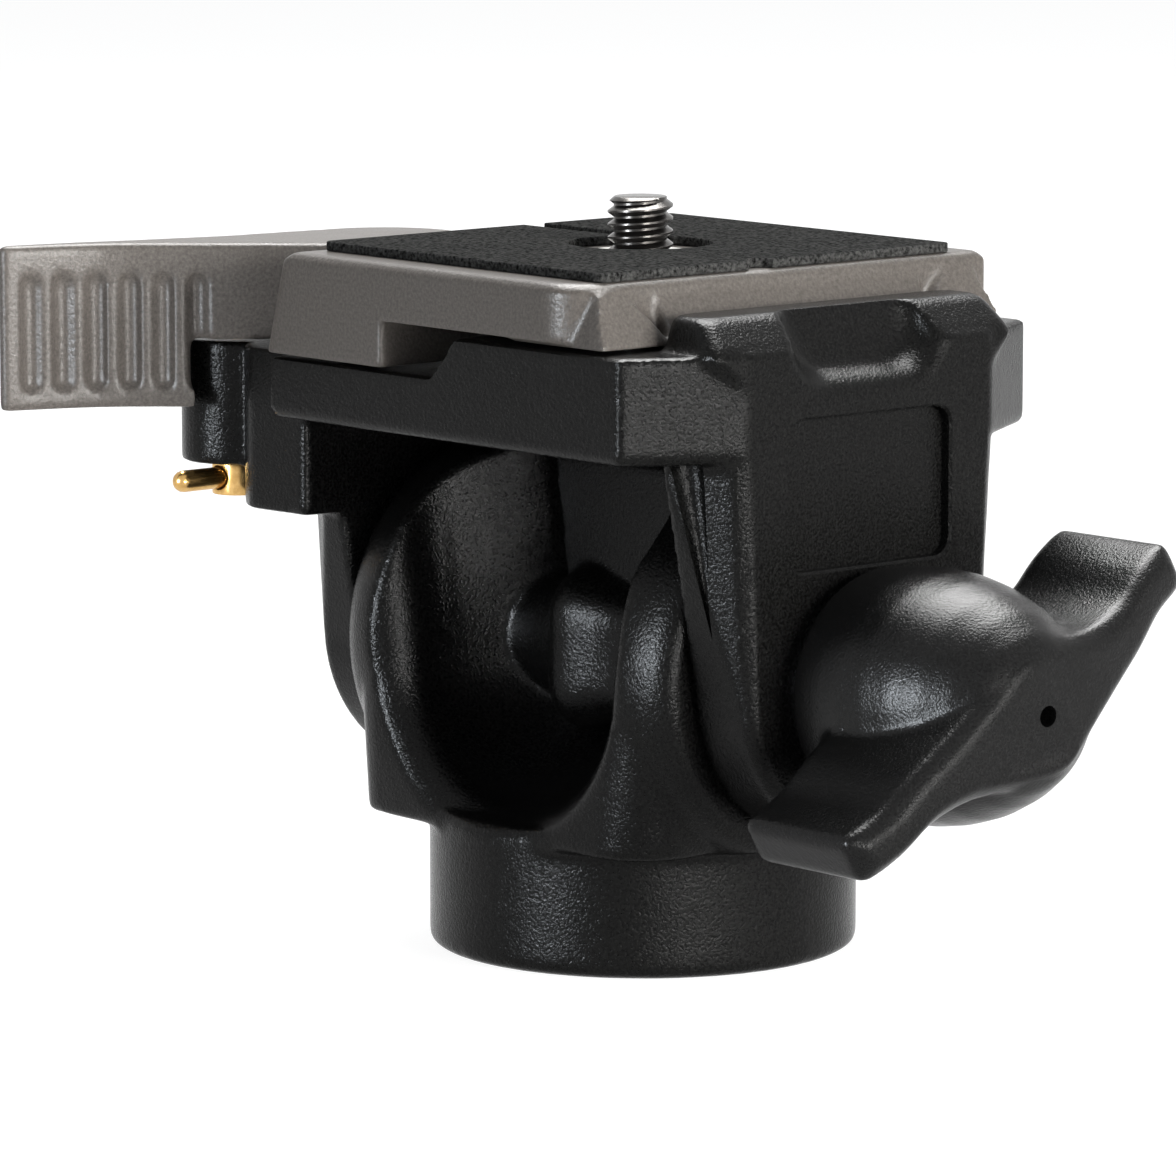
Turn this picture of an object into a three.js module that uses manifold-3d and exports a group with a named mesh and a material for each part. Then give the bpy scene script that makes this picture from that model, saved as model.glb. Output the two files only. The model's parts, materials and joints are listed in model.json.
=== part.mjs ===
// Monopod tilt head: a round foot with two lobes, a head with ears and a platform that tilts
// on them, a quick-release plate with its camera screw, the lever that clamps it and a winged knob.
// Millimetres, +Z up. The origin is the centre of the foot's underside and the tilt axis runs
// along X. The knob is on the +X side, the lever on the -X side.
import * as THREE from 'three';
import { mergeVertices } from 'three/addons/utils/BufferGeometryUtils.js';
import Module from 'manifold-3d';

const wasm = await Module();
wasm.setup();

// Clearances
const cutOver = 1;
const seatGap = 0.15;
const runGap = 0.3;
const weld = 0.00001;

// Foot and trunk
const footRadius = 20.8;
const footHeight = 12.3;
const footEdge = 0.9;
const tiltHeight = 29;
const trunkHalfX = 21;
const trunkHalfY = 19;
const trunkCrown = 1.5;
const trunkCornerLeft = 3;
const trunkCornerRight = 7.5;
const waistCorner = 4.5;
const trunkMidShare = 0.45;
const trunkSideParts = 6;

// Lobes on the tilt axis
const lobeHalfX = 24;
const lobeRadius = 19.6;
const lobeEdge = 3.6;
const waistStep = 0.4;
const waistProud = 0.3;
const waistHalfX = lobeHalfX - waistStep;
const waistHalfY = lobeRadius - waistProud;

// Scoops between the lobes, open to the front and the back
const scoopHalfWidth = 15.3;
const scoopTopHalfWidth = 18.5;
const scoopRadiusZ = 14.2;
const scoopTop = 20.5;
const scoopInnerHalfWidth = 9;
const scoopInnerTopHalfWidth = 11;
const scoopInnerRadiusZ = 8.6;
const scoopRim = 1.8;
const scoopOverlap = 0.01;
const scoopMidShare = 0.72;
const scoopMidTopShare = 0.45;
const bossRadius = 9.6;
const bossLeftEnd = -5.5;
const bossEdge = 1.6;
const slimBossRadius = 6.4;
const webLeftLow = -5.6;
const webLeftTop = -8.9;
const webRight = 13;
const webHalfLow = 5;
const webHalfTop = 4;
const webRise = 5;
const webDrop = 0.8;
const webLow = tiltHeight + webRise;
const webTop = tiltHeight + lobeRadius - webDrop;

// Monopod bush
const bushRadius = 7;
const bushBore = 4.76;
const bushLength = 12;
const bushRise = 0.3;

// Ears
const earGap = 0.5;
const earThick = 7.5;
const leftEarThick = 7;
const earInnerX = lobeHalfX + earGap;
const earOuterX = earInnerX + earThick;
const leftEarOuterX = earInnerX + leftEarThick;
const earRadius = 15.2;
const earEdge = 0.9;
const earInnerHalfTop = 19.9;
const earOuterHalfTop = 16.2;

// Platform, counted from the tilt axis upwards
const platformRise = 22;
const platformThick = 10.1;
const platformLow = tiltHeight + platformRise;
const platformTop = platformLow + platformThick;
const platformHalfY = 26;
const platformOverhang = 0.8;
const platformLeft = -earInnerX - platformOverhang;
const platformCornerRun = 6.1;
const platformRight = earOuterX - platformCornerRun;
const platformNoseHalfY = 15.5;
const platformEdge = 0.5;
const footRecessDepth = 4.1;
const footRecessTop = platformTop - footRecessDepth;
const footRecessEnd = -1;
const footRecessSlope = 3.5;
const ringPocketRadius = 11.4;
const ringPocketDepth = 2.9;
const ringPocketFloor = platformTop - ringPocketDepth;

// Recessed panel on the right ear
const panelHalfY = 10.5;
const panelTall = 14.6;
const panelRise = 11.2;
const panelLow = tiltHeight + panelRise;
const panelHigh = panelLow + panelTall;
const panelCorner = 2;
const panelDepth = 1.2;

// Tapered flutes in the right ear's slanted sides
const fluteRadius = 1.5;
const fluteEndRadius = 0.2;
const fluteTopInset = 5.1;
const fluteEndInset = 4;
const fluteTopX = earOuterX - fluteTopInset;
const fluteTopY = 18.6;
const fluteEndX = earOuterX - fluteEndInset;
const fluteEndY = 15.9;
const fluteEndRise = 6.5;
const fluteEndZ = tiltHeight + fluteEndRise;

// Lever housing on the left ear
const housingFrontY = -22.6;
const housingEarY = -earInnerHalfTop;
const housingBackY = 5;
const housingReach = 7.4;
const housingFlatReach = 1.2;
const housingLeftX = -leftEarOuterX - housingReach;
const housingFlatX = -leftEarOuterX - housingFlatReach;
const housingDrop = 10;
const housingTopDrop = 0.1;
const housingLow = platformLow - housingDrop;
const housingTop = footRecessTop - housingTopDrop;
const housingCorner = 9.5;
const housingBackCorner = 3;
const pivotBossRadius = 7.2;
const plungerBossRadius = 5.6;
const plungerBossRise = 3.6;
const plungerBossLow = housingLow + plungerBossRise;
const plungerReach = 2.9;
const plungerX = housingLeftX - plungerReach;
const plungerY = -17;

// Quick-release plate
const plateSeat = 0.7;
const plateThick = 5.5;
const plateLow = platformTop + plateSeat;
const plateTop = plateLow + plateThick;
const plateOverhang = 0.25;
const plateHalfY = platformHalfY + plateOverhang;
const plateLeftOverhang = 0.5;
const plateLeftLean = 2.8;
const plateLeftLow = platformLeft - plateLeftOverhang;
const plateLeftTop = plateLeftLow + plateLeftLean;
const plateRight = 20.5;
const plateEdge = 0.7;
const plateCornerNear = 5;
const plateCorner = 0.8;
const plateFootLow = footRecessTop + runGap;
const plateFootEnd = -8.1;
const plateToeDrop = 1.3;
const plateToeTop = plateTop - plateToeDrop;
const plateToeLow = platformTop + runGap;
const plateToeInnerY = 16.6;
const plateToeOuterY = 23.3;
const plateToeReach = 2.6;
const plateDovetailReach = 2.8;
const dovetailGap = 0.4;
const plateDovetailLow = platformTop + dovetailGap;

// Fixed jaw, which rises past the platform's top and clears the plate's dovetail
const jawRise = 3.3;
const jawLipDepth = 0.3;
const jawWaistDepth = 4.8;
const jawRootDepth = 6.6;
const jawTop = platformTop + jawRise;
const jawFlareZ = platformTop - jawLipDepth;
const jawWaistZ = platformTop - jawWaistDepth;
const jawRootZ = platformTop - jawRootDepth;
const jawHalfTop = 17.3;
const jawHalfFlare = 19.2;
const jawHalfRoot = 15.5;
const jawInner = plateRight + plateDovetailReach + runGap;
const jawTopThick = 4.5;
const jawFlareInset = 0.7;
const jawOuterTop = jawInner + jawTopThick;
const jawOuterFlare = earOuterX - jawFlareInset;
const jawCorner = 1.6;
const jawScoopRadius = 9.6;
const jawScoopRise = 2.4;
const jawScoopCentreZ = jawTop + jawScoopRise;
const jawScoopStart = 2.6;
const jawScoopRun = 2;
const jawScoopFloorTop = jawInner + jawScoopStart;
const jawScoopFloorLow = jawScoopFloorTop + jawScoopRun;
const jawScoopDepth = 7;

// Rubber pad
const padThick = 0.9;
const padGap = 0.02;
const padInsetLeft = 1.5;
const padInsetRight = 1;
const padInsetY = 3.85;
const padLeft = plateLeftTop + padInsetLeft;
const padRight = plateRight - padInsetRight;
const padHalfY = plateHalfY - padInsetY;
const padCorner = 1;
const padHoleRadius = 7;
const padSlotLow = 3.2;
const padSlotHigh = 5.8;
const padNotchRadius = 1.5;
const padNotchY = -2.5;

// Camera screw, whose lug hangs in the ring's pocket
const screwX = -0.5;
const screwRadius = 3.175;
const screwPitch = 1.27;
const screwThreadDepth = 0.62;
const screwProud = 5.4;
const screwChamfer = 0.6;
const screwThreadInset = 0.3;
const screwTop = plateTop + screwProud;
const screwThreadLow = plateTop - screwThreadInset;
const screwLugRadius = 2.6;
const screwLugRise = 0.6;
const screwLugLength = 3.1;
const screwLugLow = ringPocketFloor + screwLugRise;
const screwHeadRadius = 7;
const screwHeadThick = 2;
const screwHeadLow = screwLugLow + screwLugLength;
const screwHeadTop = screwHeadLow + screwHeadThick;
const ringWireRadius = 0.7;
const ringRadius = 8.6;
const ringZ = (screwLugLow + screwHeadLow) / 2;
const retainerRadius = 5.5;
const retainerThick = 0.5;

// Lever, whose eccentric root closes on the plate's left edge
const pivotReach = 4.5;
const pivotX = -leftEarOuterX - pivotReach;
const pivotY = -5.5;
const leverTopDrop = 0.4;
const leverGripDrop = 6.7;
const leverLow = footRecessTop + runGap;
const leverTop = plateTop - leverTopDrop;
const leverGripLow = leverLow - leverGripDrop;
const leverThrow = 3;
const leverSqueeze = 0.6;
const leverRootX = pivotX + leverThrow;
const leverRootRadius = plateLeftTop - leverRootX - leverSqueeze;
const leverRootDraft = 2.5;
const leverSpan = 17;
const leverReach = 35.6;
const leverEdge = 0.6;
const gripClearRadius = 19.2;
const grooveCount = 6;
const ribPitch = 3.25;
const ribStart = 2.7;
const grooveRadius = 0.8;
const grooveLowInset = 1.8;
const grooveHighInset = 3;
const grooveLow = leverGripLow + grooveLowInset;
const grooveHigh = leverTop - grooveHighInset;

// Lever pivot, its washer and its torsion spring
const pivotScrewRadius = 2.5;
const pivotHeadRadius = 4;
const pivotHeadThick = 3;
const pivotHeadLow = housingLow + runGap;
const pivotHeadTop = pivotHeadLow + pivotHeadThick;
const pivotWasherThick = 0.6;
const pivotHeadDrive = 1.4;
const pivotDriveRadius = 1.7;
const pivotCover = 2.9;
const pivotScrewTop = leverTop - pivotCover;
const springWellRadius = 5.9;
const springWellDepth = 5.3;
const springWellLow = housingTop - springWellDepth;
const leverSpringRadius = 4.2;
const leverSpringWire = 0.4;
const leverSpringPitch = 1.25;
const leverSpringTurns = 3;

// Safety plunger, its crossing arm and its spring
const plungerRadius = 1.5;
const plungerFootRadius = 2.6;
const plungerFootRise = 0.2;
const plungerFootLow = housingLow + plungerFootRise;
const plungerFootTop = plungerBossLow - runGap;
const plungerTop = housingTop - runGap;
const plungerCollarRadius = 2.5;
const plungerCollarThick = 2;
const plungerCollarLow = plungerTop - plungerCollarThick;
const plungerWellRadius = 3;
const plungerWellFloor = 1.4;
const plungerWellLow = plungerBossLow + plungerWellFloor;
const armRadius = 1.1;
const armRise = 1.7;
const armZ = plungerFootLow + armRise;
const armFront = 8;
const armBack = 2;
const armTipY = plungerY - armFront;
const armBackY = plungerY + armBack;
const safetySpringRadius = 2.2;
const safetySpringWire = 0.3;
const safetySpringTurns = 6;

// Clamp bolt and what is on it
const boltRadius = 3;
const boltHeadRadius = 5.6;
const boltHeadDepth = 3.6;
const boltWasherRadius = 6.6;
const washerThick = 0.8;
const boltPocketRadius = 7.2;
const boltPocketDepth = 4.2;
const frictionRadius = 12;
const frictionDepth = 0.7;
const thrustRadius = 9;

// Knob, which runs on the thrust washer
const knobGap = 0.25;
const hubBackX = earOuterX + seatGap + washerThick + knobGap;
const hubRadius = 11.4;
const knobLength = 22.6;
const hubFaceX = hubBackX + knobLength;
const boltEntry = 14.8;
const boltEndX = hubBackX + boltEntry;
const wingTurn = 30;
const wingReach = 23.6;
const wingHalf = 2.45;
const wingEdge = 0.7;
const wingBackTipStep = 3.7;
const wingCentreBackStep = 5.8;
const wingFrontTipStep = 3.2;
const wingBackTipX = hubBackX + wingBackTipStep;
const wingFrontTipX = hubFaceX - wingFrontTipStep;
const wingCentreBackX = hubBackX + wingCentreBackStep;
const wingSweepPower = 1.4;
const knobPinholeRadius = 1;
const knobPinholeDepth = 3;
const knobNutRadius = 5.2;
const knobNutLength = 7;
const knobNutInset = 0.6;

// Numbers of steps round a circle
const wideSteps = 48;
const roundSteps = 32;
const smallSteps = 16;
const cornerSteps = 5;
const scoopSteps = 14;
const earSteps = 16;
const ringSteps = 16;
const padHoleSteps = 28;
const grooveSteps = 10;
const coilSteps = 8;
const coilSides = 5;
const hexSides = 6;
const threadSides = 16;
const threadLevelsPerPitch = 5;
const fineArcSteps = 4;

const quarter = Math.PI / 2;
const halfTurn = Math.PI;
const fullTurn = 2 * Math.PI;
const mix = (a, b, share) => a + (b - a) * share;

// Turns a closed geometry into a solid, with its shared corners merged and thin folds dropped.
function solidOf(geometry) {
  const bare = geometry.index ? geometry.toNonIndexed() : geometry.clone();
  for (const name of Object.keys(bare.attributes)) {
    if (name !== 'position') bare.deleteAttribute(name);
  }
  const merged = mergeVertices(bare, weld);
  const source = merged.index.array;
  const triVerts = [];
  for (let i = 0; i < source.length; i += 3) {
    const [a, b, c] = [source[i], source[i + 1], source[i + 2]];
    if (a !== b && b !== c && a !== c) triVerts.push(a, b, c);
  }
  return new wasm.Manifold(new wasm.Mesh({
    numProp: 3,
    vertProperties: Float32Array.from(merged.attributes.position.array),
    triVerts: Uint32Array.from(triVerts),
  }));
}

// Gives the solid's triangles back as a geometry.
function geometryOf(solid) {
  const { vertProperties, triVerts } = solid.getMesh();
  const geometry = new THREE.BufferGeometry();
  geometry.setAttribute('position', new THREE.BufferAttribute(vertProperties, 3));
  geometry.setIndex(new THREE.BufferAttribute(triVerts, 1));
  geometry.computeVertexNormals();
  return geometry;
}

// Axes that carry an outline's first and second coordinate and its depth.
const planes = {
  xy: new THREE.Matrix4(),
  yz: new THREE.Matrix4().makeBasis(
    new THREE.Vector3(0, 1, 0), new THREE.Vector3(0, 0, 1), new THREE.Vector3(1, 0, 0)),
  xz: new THREE.Matrix4().makeBasis(
    new THREE.Vector3(1, 0, 0), new THREE.Vector3(0, 0, 1), new THREE.Vector3(0, -1, 0)),
};

// Extrudes an outline of [u, v] points between two depths, with its edges rounded off by edge.
function extrude(outline, plane, from, to, edge = 0) {
  const shape = new THREE.Shape(outline.map(([u, v]) => new THREE.Vector2(u, v)));
  const geometry = new THREE.ExtrudeGeometry(shape, {
    depth: to - from - 2 * edge,
    bevelEnabled: edge > 0,
    bevelThickness: edge,
    bevelSize: edge,
    bevelOffset: -edge,
    bevelSegments: 2,
    curveSegments: cornerSteps,
  });
  geometry.translate(0, 0, plane === 'xz' ? edge - to : from + edge);
  geometry.applyMatrix4(planes[plane]);
  return solidOf(geometry);
}

// Joins rings of [x, y, z] points with equal counts into one closed body with flat ends.
// The caps are cut into triangles in the plane that flat picks from each point.
function loftGeometry(rings, flat) {
  const count = rings[0].length;
  const corners = rings.flat();
  const faces = [];
  for (let r = 0; r + 1 < rings.length; r += 1) {
    for (let i = 0; i < count; i += 1) {
      const j = (i + 1) % count;
      const [a, b] = [r * count + i, r * count + j];
      faces.push([a, b, b + count], [a, b + count, a + count]);
    }
  }
  const capOf = (ring) => THREE.ShapeUtils.triangulateShape(
    ring.map((point) => new THREE.Vector2(...flat(point))), []);
  const last = (rings.length - 1) * count;
  for (const [a, b, c] of capOf(rings[0])) faces.push([c, b, a]);
  for (const [a, b, c] of capOf(rings[rings.length - 1])) faces.push([last + a, last + b, last + c]);
  let volume = 0;
  for (const [a, b, c] of faces) {
    const [p, q, s] = [corners[a], corners[b], corners[c]].map((point) => new THREE.Vector3(...point));
    volume += p.dot(q.cross(s));
  }
  const ordered = volume < 0 ? faces.map(([a, b, c]) => [a, c, b]) : faces;
  const geometry = new THREE.BufferGeometry();
  geometry.setAttribute('position', new THREE.Float32BufferAttribute(corners.flat(), 3));
  geometry.setIndex(ordered.flat());
  return geometry;
}

const flatX = ([, y, z]) => [y, z];
const flatY = ([x, , z]) => [x, z];
const flatZ = ([x, y]) => [x, y];
const loft = (rings, flat) => solidOf(loftGeometry(rings, flat));

// A lathe about Z through [radius, height] points that start and end on the axis.
function turned(profile, steps = roundSteps) {
  const geometry = new THREE.LatheGeometry(profile.map(([r, h]) => new THREE.Vector2(r, h)), steps);
  geometry.rotateX(quarter);
  return geometry;
}

// The same about the tilt axis, with heights along X.
function turnedOnTiltAxis(profile, steps = roundSteps) {
  const geometry = turned(profile, steps);
  geometry.rotateY(quarter);
  geometry.translate(0, 0, tiltHeight);
  return solidOf(geometry);
}

// Outline of a lathe's closed ring: a washer or a bush.
function tubeProfile(inner, outer, low, high, edge = 0) {
  return [
    [inner, low], [outer - edge, low], [outer, low + edge],
    [outer, high - edge], [outer - edge, high], [inner, high], [inner, low],
  ];
}

// Upright or lying rods between two places along their axis.
function rodZ(radius, low, high, x = 0, y = 0, steps = roundSteps) {
  const geometry = new THREE.CylinderGeometry(radius, radius, high - low, steps);
  geometry.rotateX(quarter);
  geometry.translate(x, y, (low + high) / 2);
  return solidOf(geometry);
}

function rodX(radius, left, right, y = 0, z = tiltHeight, steps = roundSteps) {
  const geometry = new THREE.CylinderGeometry(radius, radius, right - left, steps);
  geometry.rotateZ(quarter);
  geometry.translate((left + right) / 2, y, z);
  return solidOf(geometry);
}

function block(low, high) {
  const size = high.map((value, i) => value - low[i]);
  const geometry = new THREE.BoxGeometry(...size);
  geometry.translate(...high.map((value, i) => (value + low[i]) / 2));
  return solidOf(geometry);
}

// Points of an arc from one angle to another, both ends included.
function arc(u, v, radius, from, to, steps = cornerSteps) {
  return Array.from({ length: steps + 1 }, (_, i) => {
    const angle = from + (to - from) * i / steps;
    return [u + radius * Math.cos(angle), v + radius * Math.sin(angle)];
  });
}

// A rectangle, counterclockwise, whose corners' radii start at low u and low v.
// One radius serves all four, and a corner of radius 0 is a single point.
function roundedBox(lowU, highU, lowV, highV, radii) {
  const [a, b, c, d] = Array.isArray(radii) ? radii : [radii, radii, radii, radii];
  const corner = (u, v, radius, from) => (radius ? arc(u, v, radius, from, from + quarter) : [[u, v]]);
  return [
    ...corner(lowU + a, lowV + a, a, halfTurn),
    ...corner(highU - b, lowV + b, b, -quarter),
    ...corner(highU - c, highV - c, c, 0),
    ...corner(lowU + d, highV - d, d, quarter),
  ];
}

// Adds evenly spaced points to the edges that are longer than a given length.
function divided(outline, longest, parts) {
  return outline.flatMap((point, i) => {
    const next = outline[(i + 1) % outline.length];
    if (Math.hypot(next[0] - point[0], next[1] - point[1]) < longest) return [point];
    return Array.from({ length: parts }, (_, k) => point.map((value, n) => mix(value, next[n], k / parts)));
  });
}

const atZ = (outline, z) => outline.map(([x, y]) => [x, y, z]);
const atX = (outline, x) => outline.map(([y, z]) => [x, y, z]);
const atY = (outline, y) => outline.map(([x, z]) => [x, y, z]);
// A helical tube of round wire that climbs by the pitch on each turn.
function coil(radius, wire, pitch, turns, low, x, y) {
  const count = Math.round(turns * coilSteps);
  const centres = Array.from({ length: count + 1 }, (_, i) => {
    const angle = i * fullTurn / coilSteps;
    return new THREE.Vector3(
      x + radius * Math.cos(angle), y + radius * Math.sin(angle), low + pitch * i / coilSteps);
  });
  const rings = centres.map((centre) => {
    const out = new THREE.Vector3(centre.x - x, centre.y - y, 0).normalize();
    return Array.from({ length: coilSides }, (_, k) => {
      const turn = k * fullTurn / coilSides;
      const point = centre.clone().addScaledVector(out, wire * Math.cos(turn));
      return [point.x, point.y, point.z + wire * Math.sin(turn)];
    });
  });
  const spaces = rings.slice(coilSteps).map((ring, i) => Math.min(...ring.flatMap((upper) => (
    rings[i].map((lower) => Math.hypot(...upper.map((value, n) => value - lower[n])))))));
  console.log('least space between the turns of a spring, mm:', Math.min(...spaces).toFixed(2));
  const acrossWire = (point) => [Math.hypot(point[0] - x, point[1] - y), point[2]];
  return loft(rings, acrossWire);
}

// Base casting: foot, trunk and lobes, with the scoops cut and the bolt's boss left inside them.
function trunkRing(share, z) {
  const halfX = mix(trunkHalfX, waistHalfX, share);
  const halfY = mix(trunkHalfY, waistHalfY, share);
  const [left, right] = [trunkCornerLeft, trunkCornerRight].map((r) => mix(r, waistCorner, share));
  const outline = roundedBox(-halfX, halfX, -halfY, halfY, [left, right, right, left]);
  const crown = trunkCrown * (1 - share);
  const crowned = divided(outline, trunkHalfX, trunkSideParts)
    .map(([x, y]) => [x, y * (1 + crown / halfY * (1 - (x / halfX) ** 2))]);
  return atZ(crowned, z);
}

// Half an ellipse below the tilt axis and flaring sides above it.
function scoopOutline(halfWidth, topHalfWidth, depth, grow = 0) {
  const bottom = Array.from({ length: scoopSteps + 1 }, (_, i) => {
    const angle = halfTurn + halfTurn * i / scoopSteps;
    return [(halfWidth + grow) * Math.cos(angle), tiltHeight + (depth + grow) * Math.sin(angle)];
  });
  const high = tiltHeight + scoopTop;
  return [[-topHalfWidth - grow, high], ...bottom, [topHalfWidth + grow, high]];
}

function scoop(side) {
  const rimStart = lobeRadius - scoopRim;
  const rings = [
    atY(scoopOutline(scoopHalfWidth, scoopTopHalfWidth, scoopRadiusZ, 2 * scoopRim),
      side * (lobeRadius + scoopRim)),
    atY(scoopOutline(scoopHalfWidth, scoopTopHalfWidth, scoopRadiusZ, scoopRim / 2), side * lobeRadius),
    atY(scoopOutline(scoopHalfWidth, scoopTopHalfWidth, scoopRadiusZ), side * rimStart),
    atY(scoopOutline(mix(scoopInnerHalfWidth, scoopHalfWidth, scoopMidShare),
      mix(scoopInnerTopHalfWidth, scoopTopHalfWidth, scoopMidTopShare),
      mix(scoopInnerRadiusZ, scoopRadiusZ, scoopMidShare)), side * lobeRadius / 2),
    atY(scoopOutline(scoopInnerHalfWidth, scoopInnerTopHalfWidth, scoopInnerRadiusZ), -side * scoopOverlap),
  ];
  return loft(rings, flatY);
}

function baseCasting() {
  const foot = solidOf(turned([
    [0, 0], [footRadius - footEdge, 0], [footRadius - footEdge / 3, footEdge / 3],
    [footRadius, footEdge], [footRadius, footHeight + cutOver], [0, footHeight + cutOver],
  ], wideSteps));
  const trunk = loft([
    trunkRing(0, footHeight), trunkRing(trunkMidShare, mix(footHeight, tiltHeight, 1 / 2)),
    trunkRing(1, tiltHeight),
  ], flatZ);
  const face = lobeRadius - lobeEdge;
  const round = arc(face, lobeHalfX - lobeEdge, lobeEdge, 0, quarter, fineArcSteps);
  const mirrored = round.map(([r, x]) => [r, -x]).reverse();
  const lobes = turnedOnTiltAxis([
    [0, -lobeHalfX], ...mirrored, ...round, [0, lobeHalfX],
  ], wideSteps);
  const below = block(
    [-lobeHalfX - cutOver, -lobeRadius - cutOver, 0], [lobeHalfX + cutOver, lobeRadius + cutOver, footHeight]);
  const body = lobes.subtract(below).add(foot).add(trunk);
  const boss = turnedOnTiltAxis([
    [0, bossLeftEnd], [bossRadius - bossEdge, bossLeftEnd],
    ...arc(bossRadius - bossEdge, bossLeftEnd + bossEdge, bossEdge, -quarter, 0, fineArcSteps),
    [bossRadius, lobeHalfX - lobeEdge], [0, lobeHalfX - lobeEdge],
  ]);
  const slimBoss = rodX(slimBossRadius, lobeEdge - lobeHalfX, 0);
  const web = loft([
    atZ(roundedBox(webLeftLow, webRight, -webHalfLow, webHalfLow, 0), webLow),
    atZ(roundedBox(webLeftTop, webRight, -webHalfTop, webHalfTop, 0), webTop),
  ], flatZ);
  const washerSeat = lobeHalfX - frictionDepth;
  return body
    .subtract(scoop(-1)).subtract(scoop(1))
    .add(boss).add(slimBoss).add(web)
    .subtract(rodX(boltRadius + runGap, -lobeHalfX - cutOver, lobeHalfX + cutOver, 0, tiltHeight, smallSteps))
    .subtract(rodX(frictionRadius + runGap, washerSeat, lobeHalfX + cutOver))
    .subtract(rodX(frictionRadius + runGap, -lobeHalfX - cutOver, -washerSeat))
    .subtract(rodZ(bushRadius + seatGap, -cutOver, bushLength + bushRise + seatGap));
}

// Head casting
function earOutline(halfTop, radius, low) {
  const rise = platformLow + cutOver - tiltHeight;
  const reach = Math.hypot(halfTop, rise);
  const start = Math.atan2(rise, -halfTop) + Math.acos(radius / reach);
  const bottom = arc(0, low, radius, start, fullTurn + halfTurn - start, earSteps);
  return [[-halfTop, low + rise], ...bottom, [halfTop, low + rise]];
}

function ear(side, outerX) {
  const inner = earOutline(earInnerHalfTop, earRadius, tiltHeight);
  const outer = earOutline(earOuterHalfTop, earRadius, tiltHeight);
  const share = 1 - earEdge / (outerX - earInnerX);
  const shoulder = outer.map(([y, z], i) => [mix(inner[i][0], y, share), mix(inner[i][1], z, share)]);
  const face = earOutline(earOuterHalfTop - earEdge, earRadius - earEdge, tiltHeight);
  return loft([
    atX(inner, side * earInnerX), atX(shoulder, side * (outerX - earEdge)), atX(face, side * outerX),
  ], flatX);
}

function flute(side) {
  const high = platformLow;
  const start = new THREE.Vector3(fluteTopX, side * fluteTopY, high);
  const end = new THREE.Vector3(fluteEndX, side * fluteEndY, fluteEndZ);
  const along = start.clone().sub(end);
  const geometry = new THREE.CylinderGeometry(fluteRadius, fluteEndRadius, along.length(), smallSteps);
  geometry.applyQuaternion(new THREE.Quaternion().setFromUnitVectors(
    new THREE.Vector3(0, 1, 0), along.clone().normalize()));
  geometry.translate(...start.clone().add(end).multiplyScalar(1 / 2).toArray());
  return solidOf(geometry);
}

function platform() {
  const outline = [
    [platformLeft, -platformHalfY], [platformRight, -platformHalfY],
    [earOuterX, -platformNoseHalfY], [earOuterX, platformNoseHalfY],
    [platformRight, platformHalfY], [platformLeft, platformHalfY],
  ];
  const slab = extrude(outline, 'xy', platformLow, platformTop, platformEdge);
  const over = platformHalfY + cutOver;
  const recess = extrude([
    [platformLeft - cutOver, footRecessTop], [footRecessEnd, footRecessTop],
    [footRecessEnd + footRecessSlope, platformTop], [footRecessEnd + footRecessSlope, plateLow],
    [platformLeft - cutOver, plateLow],
  ], 'xz', -over, over);
  return slab.subtract(recess);
}

// The jaw stands on the platform's right end and flares out over its chamfered corners.
function fixedJaw() {
  const ringAt = (z, outer, half) => atZ(roundedBox(jawInner, outer, -half, half, jawCorner), z);
  return loft([
    ringAt(jawRootZ, earOuterX, jawHalfRoot), ringAt(jawWaistZ, earOuterX, jawHalfRoot),
    ringAt(jawFlareZ, jawOuterFlare, jawHalfFlare), ringAt(jawTop, jawOuterTop, jawHalfTop),
  ], flatZ);
}

function jawScoop() {
  const tool = turned([[0, 0], [jawScoopRadius, 0], [jawScoopRadius, jawScoopDepth], [0, jawScoopDepth]]);
  tool.rotateY(quarter + Math.atan2(jawScoopFloorLow - jawScoopFloorTop, jawScoopRadius));
  tool.translate(jawScoopFloorTop, 0, jawScoopCentreZ);
  return solidOf(tool);
}

function housing() {
  const round = arc(housingFlatX, housingFrontY + housingCorner, housingCorner,
    3 * quarter, halfTurn + Math.acos((housingFlatX - housingLeftX) / housingCorner), cornerSteps);
  const main = extrude([
    [-earInnerX, housingBackY], [housingLeftX + housingBackCorner, housingBackY],
    [housingLeftX, housingBackY - housingBackCorner], ...round.reverse(), [-earInnerX, housingEarY],
  ], 'xy', housingLow, housingTop, platformEdge);
  return main
    .add(rodZ(pivotBossRadius, housingLow, housingTop, pivotX, pivotY))
    .add(rodZ(plungerBossRadius, plungerBossLow, housingTop, plungerX, plungerY));
}

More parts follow.
